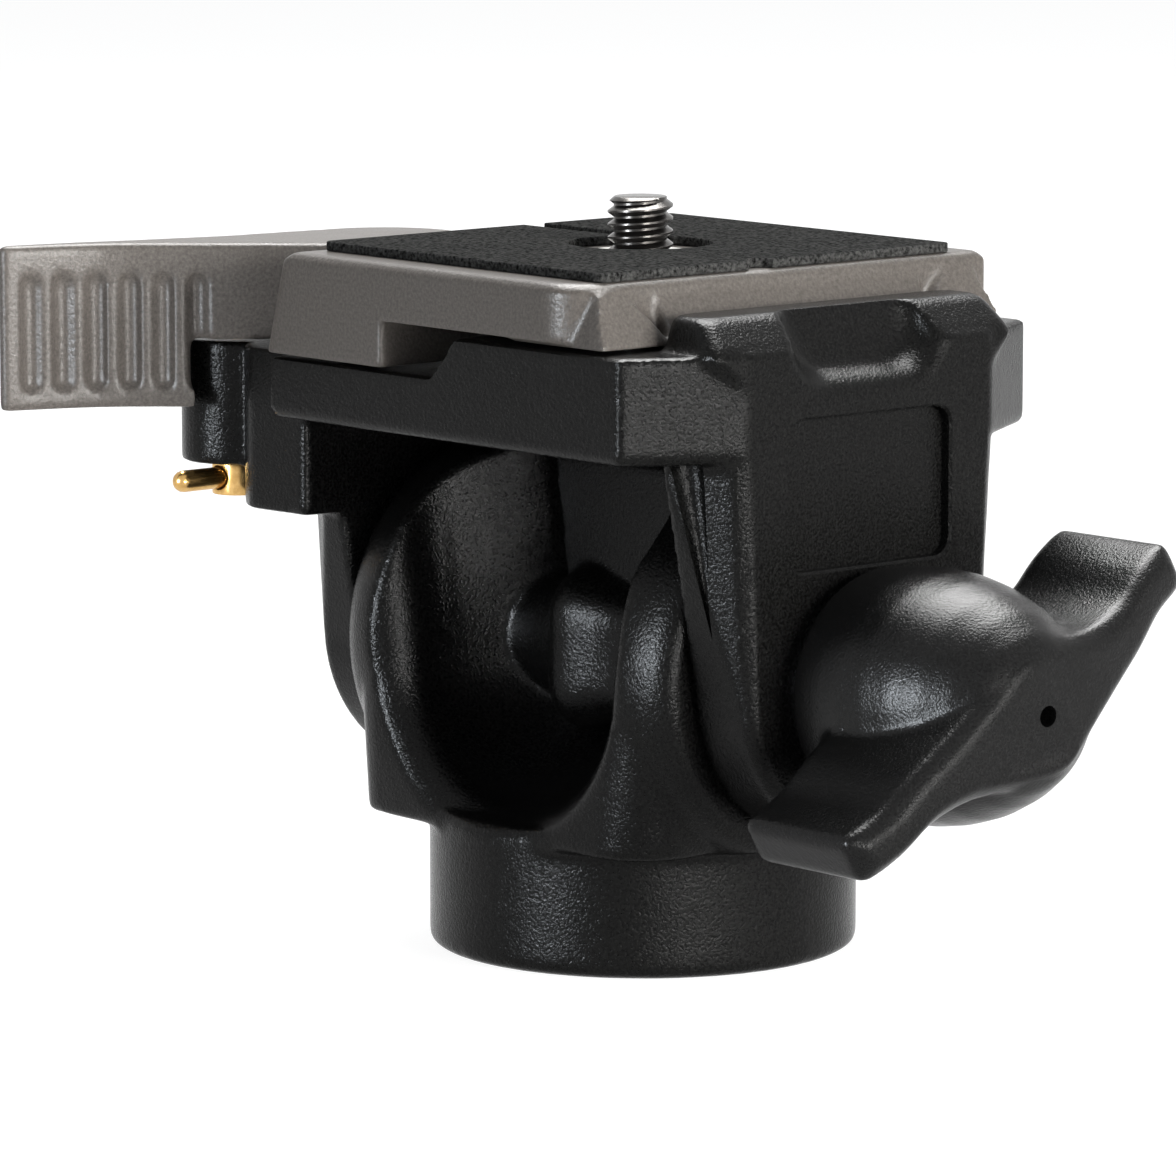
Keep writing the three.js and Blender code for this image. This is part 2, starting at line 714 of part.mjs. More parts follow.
function headCasting() {
  const pocket = boltPocketDepth;
  const whole = platform()
    .add(ear(1, earOuterX)).add(ear(-1, leftEarOuterX))
    .add(block([earInnerX, earEdge - earOuterHalfTop, platformLow - cutOver],
      [earOuterX, earOuterHalfTop - earEdge, jawWaistZ]))
    .add(fixedJaw()).add(housing());
  const panel = extrude(
    roundedBox(-panelHalfY, panelHalfY, panelLow, panelHigh, panelCorner),
    'yz', earOuterX - panelDepth, earOuterX + cutOver);
  return whole
    .subtract(panel).subtract(jawScoop())
    .subtract(flute(-1)).subtract(flute(1))
    .subtract(rodZ(ringPocketRadius, ringPocketFloor, plateTop, screwX))
    .subtract(rodX(boltRadius + runGap, -leftEarOuterX - cutOver, earOuterX + cutOver, 0, tiltHeight,
      smallSteps))
    .subtract(rodX(boltPocketRadius, -leftEarOuterX - cutOver, pocket - leftEarOuterX))
    .subtract(rodZ(pivotScrewRadius + runGap, housingLow - cutOver, housingTop + cutOver,
      pivotX, pivotY, smallSteps))
    .subtract(rodZ(pivotHeadRadius + runGap, housingLow - cutOver,
      pivotHeadTop + pivotWasherThick + 2 * seatGap, pivotX, pivotY))
    .subtract(rodZ(springWellRadius, springWellLow, housingTop + cutOver, pivotX, pivotY))
    .subtract(rodZ(plungerRadius + runGap, plungerBossLow - cutOver, housingTop + cutOver,
      plungerX, plungerY, smallSteps))
    .subtract(rodZ(plungerWellRadius, plungerWellLow, housingTop + cutOver, plungerX, plungerY, smallSteps));
}

// Quick-release plate
function quickPlate() {
  const corners = [plateCorner, plateCornerNear, plateCorner, plateCorner];
  const ring = (left, right, half, z, shrink = 0) => atZ(
    roundedBox(left + shrink, right - shrink, shrink - half, half - shrink, corners), z);
  const leftAt = (z) => mix(plateLeftTop, plateLeftLow, (plateTop - z) / (plateTop - plateFootLow));
  const slab = loft([
    ring(leftAt(plateLow), plateRight, plateHalfY, plateLow),
    ring(leftAt(plateTop - plateEdge), plateRight, plateHalfY, plateTop - plateEdge),
    ring(plateLeftTop, plateRight, plateHalfY, plateTop, plateEdge),
  ], flatZ);
  const footRing = (z) => atZ(
    roundedBox(leftAt(z), plateFootEnd, -plateHalfY, plateHalfY, [plateCorner, 0, 0, plateCorner]), z);
  const foot = loft([footRing(plateFootLow), footRing(plateLow + plateEdge)], flatZ);
  const wedge = (reach, low, from, to) => extrude([
    [0, low], [plateRight + reach, low], [plateRight, plateToeTop], [0, plateToeTop],
  ], 'xz', from, to);
  const dovetail = wedge(plateDovetailReach, plateDovetailLow, -plateToeInnerY, plateToeInnerY);
  const toes = [-1, 1].map((side) => {
    const [from, to] = [side * plateToeInnerY, side * plateToeOuterY].sort((a, b) => a - b);
    return wedge(plateToeReach, plateToeLow, from, to);
  });
  const headPocket = rodZ(screwHeadRadius + runGap, plateFootLow - cutOver, screwHeadTop + seatGap, screwX);
  const ringPocket = rodZ(ringPocketRadius, plateFootLow - cutOver, plateLow, screwX);
  return slab.add(foot).add(dovetail).add(toes[0]).add(toes[1])
    .subtract(headPocket).subtract(ringPocket)
    .subtract(rodZ(screwRadius + runGap, plateFootLow, plateTop + cutOver, screwX, 0, smallSteps))
    .subtract(rodZ(retainerRadius + seatGap, plateTop - retainerThick - seatGap, plateTop + cutOver, screwX));
}

function platePad() {
  const low = -halfTurn - Math.asin(padSlotLow / padHoleRadius);
  const high = halfTurn - Math.asin(padSlotHigh / padHoleRadius);
  const outline = [
    [padLeft, padSlotLow], [padLeft, padCorner - padHalfY],
    ...arc(padLeft + padCorner, padCorner - padHalfY, padCorner, halfTurn, 3 * quarter).slice(1),
    ...arc(padRight - padCorner, padCorner - padHalfY, padCorner, -quarter, 0),
    ...arc(padRight, padNotchY, padNotchRadius, 3 * quarter, quarter, cornerSteps),
    ...arc(padRight - padCorner, padHalfY - padCorner, padCorner, 0, quarter),
    ...arc(padLeft + padCorner, padHalfY - padCorner, padCorner, quarter, halfTurn),
    [padLeft, padSlotHigh],
    ...arc(screwX, 0, padHoleRadius, high, low, padHoleSteps),
  ];
  return extrude(outline, 'xy', plateTop + padGap, plateTop + padGap + padThick);
}

// Camera screw: a helical thread whose ridge goes once round for each pitch.
function cameraScrew() {
  const levels = Math.round((screwTop - screwThreadLow) / screwPitch * threadLevelsPerPitch);
  const rings = Array.from({ length: levels + 1 }, (_, level) => {
    const z = mix(screwThreadLow, screwTop, level / levels);
    const topShare = Math.max(0, (z - (screwTop - screwChamfer)) / screwChamfer);
    return Array.from({ length: threadSides }, (_, k) => {
      const angle = k * fullTurn / threadSides;
      const phase = (z / screwPitch - k / threadSides) % 1;
      const ridge = Math.abs(2 * (phase < 0 ? phase + 1 : phase) - 1);
      const radius = screwRadius - screwThreadDepth * (1 - ridge) - screwChamfer * topShare;
      return [screwX + radius * Math.cos(angle), radius * Math.sin(angle), z];
    });
  });
  const core = screwRadius - screwThreadDepth;
  const shank = rodZ(core, screwHeadTop - cutOver, screwThreadLow + cutOver, screwX, 0, smallSteps);
  const head = rodZ(screwHeadRadius, screwHeadLow, screwHeadTop, screwX);
  const lug = rodZ(screwLugRadius, screwLugLow, screwHeadLow + cutOver, screwX, 0, smallSteps);
  const eye = new THREE.CylinderGeometry(
    ringWireRadius + seatGap, ringWireRadius + seatGap, 4 * screwLugRadius, smallSteps);
  eye.translate(screwX, 0, ringZ);
  return loft(rings, flatZ).add(shank).add(head).add(lug).subtract(solidOf(eye));
}

// The folding ring: a straight bar through the screw's lug, closed by half a circle.
function screwRing() {
  const bow = extrude([
    ...arc(screwX, 0, ringRadius, -quarter, quarter, ringSteps),
    ...arc(screwX, 0, ringRadius - 2 * ringWireRadius, quarter, -quarter, ringSteps),
  ], 'xy', ringZ - ringWireRadius, ringZ + ringWireRadius);
  const bar = new THREE.CylinderGeometry(
    ringWireRadius, ringWireRadius, 2 * (ringRadius - ringWireRadius), smallSteps);
  bar.translate(screwX, 0, ringZ);
  return bow.add(solidOf(bar));
}

function screwRetainer() {
  const washer = turned(tubeProfile(
    screwRadius + runGap, retainerRadius, plateTop - retainerThick, plateTop));
  washer.translate(screwX, 0, 0);
  return solidOf(washer);
}

// Lever: an eccentric root that presses the plate's edge, a neck, and a ribbed grip.
// The outline's points are shares of the lever's span and reach, counted from the root's centre.
const leverOuterShares = [
  [0.2, 0.02], [0.547, 0.04], [0.606, 0.332], [0.759, 0.607], [0.853, 0.737], [0.976, 0.975], [0.945, 1],
];
const leverInnerShares = [[0.885, 0.995], [0.676, 0.737], [0.294, 0.52], [0, 0.361], [-0.255, 0.235]];

const leverPoint = ([u, v]) => [leverRootX - leverSpan * u, pivotY - leverReach * v];

// Places along the grip's inner face, a rib's pitch apart, each with the face's direction.
function ribPlaces() {
  const [tip, bend, end] = leverInnerShares.map(leverPoint).map(([x, y]) => new THREE.Vector2(x, y));
  const first = tip.distanceTo(bend);
  return Array.from({ length: grooveCount }, (_, i) => {
    const distance = ribStart + i * ribPitch;
    const [from, to, along] = distance < first ? [tip, bend, distance] : [bend, end, distance - first];
    return from.clone().addScaledVector(to.clone().sub(from).normalize(), along);
  });
}

function lockLever() {
  const root = turned([
    [0, leverLow], [leverRootRadius - leverRootDraft, leverLow], [leverRootRadius, leverTop - leverEdge],
    [leverRootRadius - leverEdge, leverTop], [0, leverTop],
  ]);
  root.translate(leverRootX, pivotY, 0);
  const outline = [...leverOuterShares, ...leverInnerShares].map(leverPoint);
  const neck = extrude(outline, 'xy', leverLow, leverTop, leverEdge);
  const gripOutline = [...leverOuterShares.slice(2), ...leverInnerShares.slice(0, 4)].map(leverPoint);
  const grip = extrude(gripOutline, 'xy', leverGripLow, leverTop, leverEdge)
    .subtract(rodZ(gripClearRadius, leverGripLow - cutOver, leverLow, pivotX, pivotY, wideSteps));
  let lever = solidOf(root).add(neck).add(grip);
  for (const place of ribPlaces()) {
    lever = lever.subtract(rodZ(grooveRadius, grooveLow, grooveHigh, place.x, place.y, grooveSteps));
  }
  return lever.subtract(
    rodZ(pivotScrewRadius + runGap, leverLow - cutOver, pivotScrewTop + runGap, pivotX, pivotY, smallSteps));
}

function leverPivotScrew() {
  const head = rodZ(pivotHeadRadius, pivotHeadLow, pivotHeadTop, pivotX, pivotY);
  const shank = rodZ(pivotScrewRadius, pivotHeadTop - pivotHeadDrive, pivotScrewTop, pivotX, pivotY,
    smallSteps);
  const drive = rodZ(pivotDriveRadius, pivotHeadLow - cutOver, pivotHeadLow + pivotHeadDrive,
    pivotX, pivotY, hexSides);
  return head.add(shank).subtract(drive);
}

function leverPivotWasher() {
  const low = pivotHeadTop + seatGap;
  const washer = turned(tubeProfile(
    pivotScrewRadius + seatGap, pivotHeadRadius, low, low + pivotWasherThick), smallSteps);
  washer.translate(pivotX, pivotY, 0);
  return solidOf(washer);
}

function leverSpring() {
  return coil(leverSpringRadius, leverSpringWire, leverSpringPitch, leverSpringTurns,
    springWellLow + leverSpringWire + seatGap, pivotX, pivotY);
}

// Safety plunger with its collar and foot, the pin that crosses the foot, and its spring
function safetyPlunger() {
  const eye = new THREE.CylinderGeometry(armRadius + seatGap, armRadius + seatGap,
    4 * plungerFootRadius, smallSteps);
  eye.translate(plungerX, plungerY, armZ);
  return rodZ(plungerRadius, plungerFootLow + armRadius, plungerTop, plungerX, plungerY, smallSteps)
    .add(rodZ(plungerCollarRadius, plungerCollarLow, plungerTop, plungerX, plungerY, smallSteps))
    .add(rodZ(plungerFootRadius, plungerFootLow, plungerFootTop, plungerX, plungerY))
    .subtract(solidOf(eye));
}

function safetyArm() {
  const dome = arc(0, 0, armRadius, 0, quarter, fineArcSteps).map(([r, h]) => [r, armTipY + armRadius - h]);
  const pin = turned([
    [0, armBackY], [armRadius, armBackY], ...dome.slice(0, -1), [0, armTipY],
  ].map(([r, y]) => [r, -y]), smallSteps);
  pin.rotateX(quarter);
  pin.translate(plungerX, 0, armZ);
  return solidOf(pin);
}

function safetySpring() {
  const low = plungerWellLow + safetySpringWire + seatGap;
  const high = plungerCollarLow - safetySpringWire - seatGap;
  return coil(safetySpringRadius, safetySpringWire, (high - low) / safetySpringTurns, safetySpringTurns,
    low, plungerX, plungerY);
}

// Clamp bolt, its washers and the friction discs
function clampBolt() {
  const seat = boltPocketDepth - leftEarOuterX - washerThick - 2 * seatGap;
  const head = rodX(boltHeadRadius, seat - boltHeadDepth, seat, 0, tiltHeight, hexSides);
  return head.add(rodX(boltRadius, seat - boltHeadDepth / 2, boltEndX, 0, tiltHeight, smallSteps));
}

const washerOnBolt = (outer, left, right) => turnedOnTiltAxis(
  tubeProfile(boltRadius + seatGap, outer, left, right));

function boltWasher() {
  const right = boltPocketDepth - leftEarOuterX - seatGap;
  return washerOnBolt(boltWasherRadius, right - washerThick, right);
}

function frictionWasher(side) {
  const [left, right] = [
    side * (lobeHalfX - frictionDepth + seatGap), side * (earInnerX - seatGap),
  ].sort((a, b) => a - b);
  return washerOnBolt(frictionRadius, left, right);
}

function thrustWasher() {
  return washerOnBolt(thrustRadius, earOuterX + seatGap, earOuterX + seatGap + washerThick);
}

function monopodBush() {
  return solidOf(turned(tubeProfile(bushBore, bushRadius, bushRise, bushRise + bushLength, bushRise)));
}

// Knob: a domed hub and two wings. The wing's outline is in shares of its reach and half thickness,
// from one tip to the other along one side, and the other side is the same turned half round.
const wingShares = [
  [1, 0.55], [0.975, 1], [0.81, 1.02], [0.63, 0.71], [0.425, 1.02], [0.18, 2.12], [0, 2.73],
  [-0.18, 2.3], [-0.425, 1.8], [-0.63, 1.45], [-0.81, 1.02], [-0.975, 1], [-1, 0.55],
];
const hubShares = [
  [0.96, 0], [1, 0.03], [1.035, 0.17], [1.053, 0.3], [1.045, 0.43], [1, 0.56], [0.92, 0.69], [0.81, 0.82],
  [0.7, 0.92], [0.62, 0.975],
];

function wingRing(xAt, shrink) {
  const side = wingShares.map(([p, q]) => [
    p * (wingReach - shrink), q * wingHalf - Math.sign(q) * shrink,
  ]);
  const outline = [...side, ...side.map(([p, q]) => [-p, -q])];
  const [cosine, sine] = [Math.cos(wingTurn * quarter / 90), Math.sin(wingTurn * quarter / 90)];
  return outline.map(([p, q]) => [
    xAt(Math.abs(p) / wingReach), p * cosine - q * sine, tiltHeight + p * sine + q * cosine,
  ]);
}

function knob() {
  const length = hubFaceX - hubBackX;
  const hub = turnedOnTiltAxis([
    [0, hubBackX], ...hubShares.map(([r, x]) => [r * hubRadius, hubBackX + x * length]),
    [0, hubBackX + hubShares.at(-1)[1] * length],
  ], wideSteps);
  const back = (share) => mix(wingCentreBackX, wingBackTipX, share);
  const front = (share) => mix(hubFaceX, wingFrontTipX, share ** wingSweepPower);
  const wings = loft([
    wingRing(back, wingEdge), wingRing((share) => back(share) + wingEdge, 0),
    wingRing((share) => front(share) - wingEdge, 0), wingRing(front, wingEdge),
  ], flatX);
  const nutEnd = hubBackX + knobNutInset + knobNutLength;
  return hub.add(wings)
    .subtract(rodX(boltRadius + runGap, hubBackX - cutOver, boltEndX + cutOver, 0, tiltHeight, smallSteps))
    .subtract(rodX(knobNutRadius + seatGap, hubBackX - cutOver, nutEnd + seatGap, 0, tiltHeight, hexSides))
    .subtract(rodX(knobPinholeRadius, hubFaceX - knobPinholeDepth, hubFaceX + cutOver, 0, tiltHeight,
      smallSteps));
}

function knobNut() {
  const start = hubBackX + knobNutInset;
  return rodX(knobNutRadius, start, start + knobNutLength, 0, tiltHeight, hexSides)
    .subtract(rodX(boltRadius + seatGap, start - cutOver, start + knobNutLength + cutOver, 0, tiltHeight,
      smallSteps));
}

const material = (color, roughness, metalness) => new THREE.MeshStandardMaterial({
  color, roughness, metalness,
});
const blackPaint = material(0x1c1c1d, 0.45, 0.2);
const greyPaint = material(0x6b625c, 0.5, 0.3);
const rubber = material(0x2b2b2c, 0.85, 0);
const darkSteel = material(0x3a3a3e, 0.25, 1);
const brightSteel = material(0xb9bbbe, 0.3, 1);
const brass = material(0xb98a3a, 0.3, 1);
const nylon = material(0xe4e2dc, 0.6, 0);
const mouldedPlastic = material(0x1a1a1b, 0.4, 0);

function named(name, solid, look) {
  const mesh = new THREE.Mesh(geometryOf(solid), look);
  mesh.name = name;
  return mesh;
}

const base = new THREE.Group();
base.add(
  named('base_casting', baseCasting(), blackPaint),
  named('monopod_bush', monopodBush(), brightSteel),
  named('friction_washer_right', frictionWasher(1), nylon),
  named('friction_washer_left', frictionWasher(-1), nylon),
);

const plate = new THREE.Group();
plate.add(
  named('quick_plate', quickPlate(), greyPaint),
  named('plate_pad', platePad(), rubber),
  named('camera_screw', cameraScrew(), darkSteel),
  named('screw_ring', screwRing(), brightSteel),
  named('screw_retainer', screwRetainer(), nylon),
);

const lever = new THREE.Group();
lever.add(
  named('lock_lever', lockLever(), greyPaint),
  named('lever_pivot_screw', leverPivotScrew(), darkSteel),
  named('lever_pivot_washer', leverPivotWasher(), brightSteel),
  named('lever_spring', leverSpring(), brightSteel),
  named('safety_plunger', safetyPlunger(), brass),
  named('safety_arm', safetyArm(), brass),
  named('safety_spring', safetySpring(), brightSteel),
);

const clamp = new THREE.Group();
clamp.add(
  named('clamp_bolt', clampBolt(), darkSteel),
  named('bolt_washer', boltWasher(), brightSteel),
  named('thrust_washer', thrustWasher(), brightSteel),
  named('knob', knob(), mouldedPlastic),
  named('knob_nut', knobNut(), brightSteel),
);

const tiltHead = new THREE.Group();
tiltHead.add(base, named('head_casting', headCasting(), blackPaint), plate, lever, clamp);

export default tiltHead;
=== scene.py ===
import json
from math import acos, asin, atan2, cos, degrees, hypot, pi, radians, sin

import bmesh
import bpy
from mathutils import Matrix, Vector


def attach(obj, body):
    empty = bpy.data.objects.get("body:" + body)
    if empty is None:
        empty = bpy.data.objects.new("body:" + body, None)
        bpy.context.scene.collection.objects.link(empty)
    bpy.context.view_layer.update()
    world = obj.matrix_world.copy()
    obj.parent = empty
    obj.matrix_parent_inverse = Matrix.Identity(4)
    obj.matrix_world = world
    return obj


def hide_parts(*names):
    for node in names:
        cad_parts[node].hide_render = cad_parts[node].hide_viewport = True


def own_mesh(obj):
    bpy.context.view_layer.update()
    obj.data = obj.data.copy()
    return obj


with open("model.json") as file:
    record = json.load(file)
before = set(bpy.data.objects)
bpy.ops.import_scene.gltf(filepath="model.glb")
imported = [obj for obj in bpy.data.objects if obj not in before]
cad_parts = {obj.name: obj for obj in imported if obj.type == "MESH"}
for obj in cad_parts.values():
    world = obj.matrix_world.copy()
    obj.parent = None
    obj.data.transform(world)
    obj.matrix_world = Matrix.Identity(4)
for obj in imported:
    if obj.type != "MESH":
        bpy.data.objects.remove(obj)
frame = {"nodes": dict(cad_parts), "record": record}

# Every piece is modelled in millimetres and brought to metres when it is finished.
mm = 0.001
tiltHeight = 29
tiltAxis = (0, tiltHeight)  # its y and z
screwPlace = (-0.5, 0)
leverPivot = (-36, -5.5)
boltBore, pivotBore, ringPocket = 3.4, 2.9, 11.4  # radii of holes that two or more pieces share
overlap = 1  # how far a cutter or a joint reaches past a face
near = 0.01  # how close to a height a picked edge lies
fewSides, manySides, mostSides = 48, 96, 128  # of thin, wide and the widest rods
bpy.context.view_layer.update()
print("frame loaded:", len(frame["nodes"]), "nodes")


# Working steps.

def pickNothing():
    if bpy.context.mode != "OBJECT":
        bpy.ops.object.mode_set(mode="OBJECT")
    bpy.ops.object.select_all(action="DESELECT")


def pickPiece(piece):
    pickNothing()
    piece.select_set(True)
    bpy.context.view_layer.objects.active = piece


def keepNew(name):
    bpy.ops.object.transform_apply(location=True, rotation=True, scale=True)
    piece = bpy.context.object
    piece.name = name
    piece.data.name = name
    return piece


def addBlock(name, low, high):
    pickNothing()
    middle = [(a + b) / 2 for a, b in zip(low, high)]
    size = [b - a for a, b in zip(low, high)]
    bpy.ops.mesh.primitive_cube_add(size=1, location=middle, scale=size)
    return keepNew(name)


def along(axis, distance, u, v):
    # A point at a distance on an axis, with its other two coordinates in order.
    return {"X": (distance, u, v), "Y": (u, distance, v), "Z": (u, v, distance)}[axis]


turns = {"X": (0, pi / 2, 0), "Y": (-pi / 2, 0, 0), "Z": (0, 0, 0)}


def addRod(name, radius, start, end, axis="Z", at=(0, 0), sides=64):
    pickNothing()
    bpy.ops.mesh.primitive_cylinder_add(
        vertices=sides, radius=radius, depth=end - start,
        location=along(axis, (start + end) / 2, *at), rotation=turns[axis])
    return keepNew(name)


def startEditing(piece, kind):
    pickPiece(piece)
    bpy.ops.object.mode_set(mode="EDIT")
    bpy.ops.mesh.select_mode(type=kind)
    bpy.ops.mesh.select_all(action="DESELECT")
    return bmesh.from_edit_mesh(piece.data)


def roundEdges(piece, test, width, segments):
    # Bevels the edges whose two ends pass the test.
    mesh = startEditing(piece, "EDGE")
    for edge in mesh.edges:
        if test(edge.verts[0].co, edge.verts[1].co):
            edge.select_set(True)
    bmesh.update_edit_mesh(piece.data)
    bpy.ops.mesh.bevel(offset=width, segments=segments, affect="EDGES", clamp_overlap=True)
    pickNothing()


def moveCorners(piece, places, targets):
    # Each corner that lies at one of the places goes to the target of the same number.
    mesh = startEditing(piece, "VERT")
    chosen = {}
    for number, place in enumerate(places):
        free = [v for v in mesh.verts if v.index not in chosen]
        nearest = min(free, key=lambda v: (v.co - place).length_squared)
        chosen[nearest.index] = number
    for index, number in chosen.items():
        mesh.verts.ensure_lookup_table()
        bpy.ops.mesh.select_all(action="DESELECT")
        mesh.verts[index].select_set(True)
        bpy.ops.transform.translate(value=targets[number] - places[number])


def addLoft(name, rings):
    # A filled circle is pulled on from ring to ring, and its corners are moved to each ring's places.
    rings = [[Vector(point) for point in ring] for ring in rings]
    pickNothing()
    bpy.ops.mesh.primitive_circle_add(vertices=len(rings[0]), radius=1, fill_type="NGON")
    piece = keepNew(name)
    places = [v.co.copy() for v in piece.data.vertices]
    mesh = startEditing(piece, "VERT")
    mesh.verts.ensure_lookup_table()
    for number, place in enumerate(places):
        bpy.ops.mesh.select_all(action="DESELECT")
        mesh.verts[number].select_set(True)
        bpy.ops.transform.translate(value=rings[0][number] - place)
    for before, ring in zip(rings, rings[1:]):
        bpy.ops.mesh.select_mode(type="VERT")
        bpy.ops.mesh.select_all(action="DESELECT")
        mesh.verts.ensure_lookup_table()
        for vert in mesh.verts[len(mesh.verts) - len(ring):]:
            vert.select_set(True)
        mesh.select_flush(True)
        bpy.ops.mesh.select_mode(type="FACE")
        bpy.ops.mesh.extrude_region_move()
        bpy.ops.mesh.select_mode(type="VERT")
        mesh = bmesh.from_edit_mesh(piece.data)
        fresh = [v for v in mesh.verts if v.select]
        order = [min(range(len(before)), key=lambda i: (before[i] - v.co).length_squared)
                 for v in fresh]
        for vert, number in zip(fresh, order):
            bpy.ops.mesh.select_all(action="DESELECT")
            vert.select_set(True)
            bpy.ops.transform.translate(value=ring[number] - before[number])
        mesh.verts.index_update()
    bpy.ops.mesh.select_all(action="SELECT")
    bpy.ops.mesh.normals_make_consistent(inside=False)
    pickNothing()
    return piece


def addOutline(name, points, start, end, axis="Z"):
    # An outline pulled straight from start to end.
    return addLoft(name, [[along(axis, depth, *point) for point in points] for depth in (start, end)])


def addTurned(name, profile, axis="Z", at=(0, 0), sides=64):
    # A filled circle is pulled along its axis and resized at each (radius, distance) of the profile.
    (radius, distance), rest = profile[0], profile[1:]
    pickNothing()
    bpy.ops.mesh.primitive_circle_add(
        vertices=sides, radius=radius, fill_type="NGON", location=along(axis, distance, *at),
        rotation=turns[axis])
    piece = keepNew(name)
    startEditing(piece, "FACE")
    bpy.ops.mesh.select_all(action="SELECT")
    for nextRadius, nextDistance in rest:
        bpy.ops.mesh.extrude_region_move()
        bpy.ops.transform.translate(value=along(axis, nextDistance - distance, 0, 0))
        grow = nextRadius / radius
        bpy.ops.transform.resize(
            value=along(axis, 1, grow, grow), center_override=along(axis, nextDistance, *at))
        radius, distance = nextRadius, nextDistance
    bpy.ops.mesh.select_all(action="SELECT")
    bpy.ops.mesh.normals_make_consistent(inside=False)
    pickNothing()
    return piece


def cutAt(piece, point, normal):
    # Takes off what lies beyond a plane and closes the cut.
    startEditing(piece, "FACE")
    bpy.ops.mesh.select_all(action="SELECT")
    bpy.ops.mesh.bisect(plane_co=point, plane_no=normal, use_fill=True, clear_outer=True)
    pickNothing()
    return piece


def useModifier(piece, kind, **settings):
    pickPiece(piece)
    modifier = piece.modifiers.new(kind.title(), kind)
    for key, value in settings.items():
        setattr(modifier, key, value)
    bpy.ops.object.modifier_apply(modifier=modifier.name)
    return piece


def combine(piece, operation, *others):
    for other in others:
        useModifier(piece, "BOOLEAN", operation=operation, object=other, solver="EXACT")
        bpy.data.objects.remove(other)
    return piece


def gather(name, *parts):
    pickNothing()
    for part in parts:
        part.select_set(True)
    bpy.context.view_layer.objects.active = parts[0]
    bpy.ops.object.join()
    parts[0].name = name
    parts[0].data.name = name
    return parts[0]


def melt(piece, voxel, passes):
    # Overlapping bodies become one skin, and its edges soften like those of a casting.
    useModifier(piece, "REMESH", mode="VOXEL", voxel_size=voxel)
    useModifier(piece, "SMOOTH", factor=0.5, iterations=passes)
    return piece


copying = {"mergeWithin": 0.000002, "flatWithin": 1, "edgeSteps": 2, "sharpOver": 40}


def fineCopy(name, node, edge):
    # A copy of a CAD node with its corners merged and its edges broken.
    pickNothing()
    piece = frame["nodes"][node].copy()
    piece.data = piece.data.copy()
    piece.name = name
    piece.parent = None
    for key in [key for key in piece.keys() if key.startswith("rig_")]:
        del piece[key]
    bpy.context.scene.collection.objects.link(piece)
    startEditing(piece, "VERT")
    bpy.ops.mesh.select_all(action="SELECT")
    bpy.ops.mesh.remove_doubles(threshold=copying["mergeWithin"])
    bpy.ops.mesh.dissolve_limited(angle_limit=radians(copying["flatWithin"]))
    pickNothing()
    pickPiece(piece)
    piece.scale = (1 / mm,) * 3
    bpy.ops.object.transform_apply(location=False, rotation=False, scale=True)
    if edge:
        useModifier(piece, "BEVEL", width=edge, segments=copying["edgeSteps"], limit_method="ANGLE",
                    angle_limit=radians(copying["sharpOver"]))
    return piece


def finishPiece(piece, body, material, nodes, angle=35):
    # To metres, shaded, coated, and tied to its body; the nodes it stands for are hidden.
    pickPiece(piece)
    piece.scale = (mm, mm, mm)
    bpy.ops.object.transform_apply(location=True, rotation=True, scale=True)
    bpy.ops.object.shade_smooth_by_angle(angle=radians(angle))
    piece.data.materials.clear()
    piece.data.materials.append(material)
    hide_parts(*nodes)
    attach(piece, body)
    print("finished", piece.name, len(piece.data.polygons), "faces")


def arc(u, v, radius, start, end, steps=8):
    # Points from one angle to another, in degrees, round (u, v).
    return [(u + radius * cos(radians(start + (end - start) * i / steps)),
             v + radius * sin(radians(start + (end - start) * i / steps))) for i in range(steps + 1)]


def roundedBox(lowU, highU, lowV, highV, radii, steps=8):
    # Corners in order: low u and low v, then on counterclockwise.
    a, b, c, d = radii if isinstance(radii, (list, tuple)) else (radii,) * 4
    return (arc(lowU + a, lowV + a, a, 180, 270, steps)
            + arc(highU - b, lowV + b, b, 270, 360, steps)
            + arc(highU - c, highV - c, c, 0, 90, steps)
            + arc(lowU + d, highV - d, d, 90, 180, steps))


def smoothLine(points, parts):
    # More points on a smooth line through the given ones.
    made = []
    for i in range(len(points) - 1):
        a = points[max(i - 1, 0)]
        b, c = points[i], points[i + 1]
        d = points[min(i + 2, len(points) - 1)]
        for step in range(parts):
            t = step / parts
            made.append(tuple(
                0.5 * (2 * q + (r - p) * t + (2 * p - 5 * q + 4 * r - w) * t * t
                       + (3 * q - p - 3 * r + w) * t ** 3) for p, q, r, w in zip(a, b, c, d)))
    return made + [tuple(points[-1])]


def mix(a, b, share):
    return a + (b - a) * share


# Finishes.

grainShape = {
    "beadDetail": 2.0, "beadRoughness": 0.6, "pitShare": 0.7, "pitSmoothness": 0.6,
    "waveShare": 0.04, "waveDetail": 3.0, "shadeRange": (0.3, 0.75),
}


def addGroup(name, inputs, outputs):
    group = bpy.data.node_groups.new(name, "ShaderNodeTree")
    for label, value in inputs.items():
        socket = group.interface.new_socket(name=label, in_out="INPUT", socket_type="NodeSocketFloat")
        socket.default_value = value
    for label in outputs:
        group.interface.new_socket(name=label, in_out="OUTPUT", socket_type="NodeSocketFloat")
    return group, group.nodes.new("NodeGroupInput"), group.nodes.new("NodeGroupOutput")


def addNode(tree, kind, values=None, **settings):
    node = tree.nodes.new(kind)
    for key, value in settings.items():
        setattr(node, key, value)
    for key, value in (values or {}).items():
        if isinstance(value, bpy.types.NodeSocket):
            tree.links.new(value, node.inputs[key])
        else:
            node.inputs[key].default_value = value
    return node


def calculate(tree, operation, a, b, clamp=False):
    return addNode(tree, "ShaderNodeMath", {0: a, 1: b}, operation=operation, use_clamp=clamp).outputs[0]


def stretch(tree, value, low, high):
    return addNode(tree, "ShaderNodeMapRange", {"Value": value, "From Min": low, "From Max": high},
                   clamp=True).outputs[0]


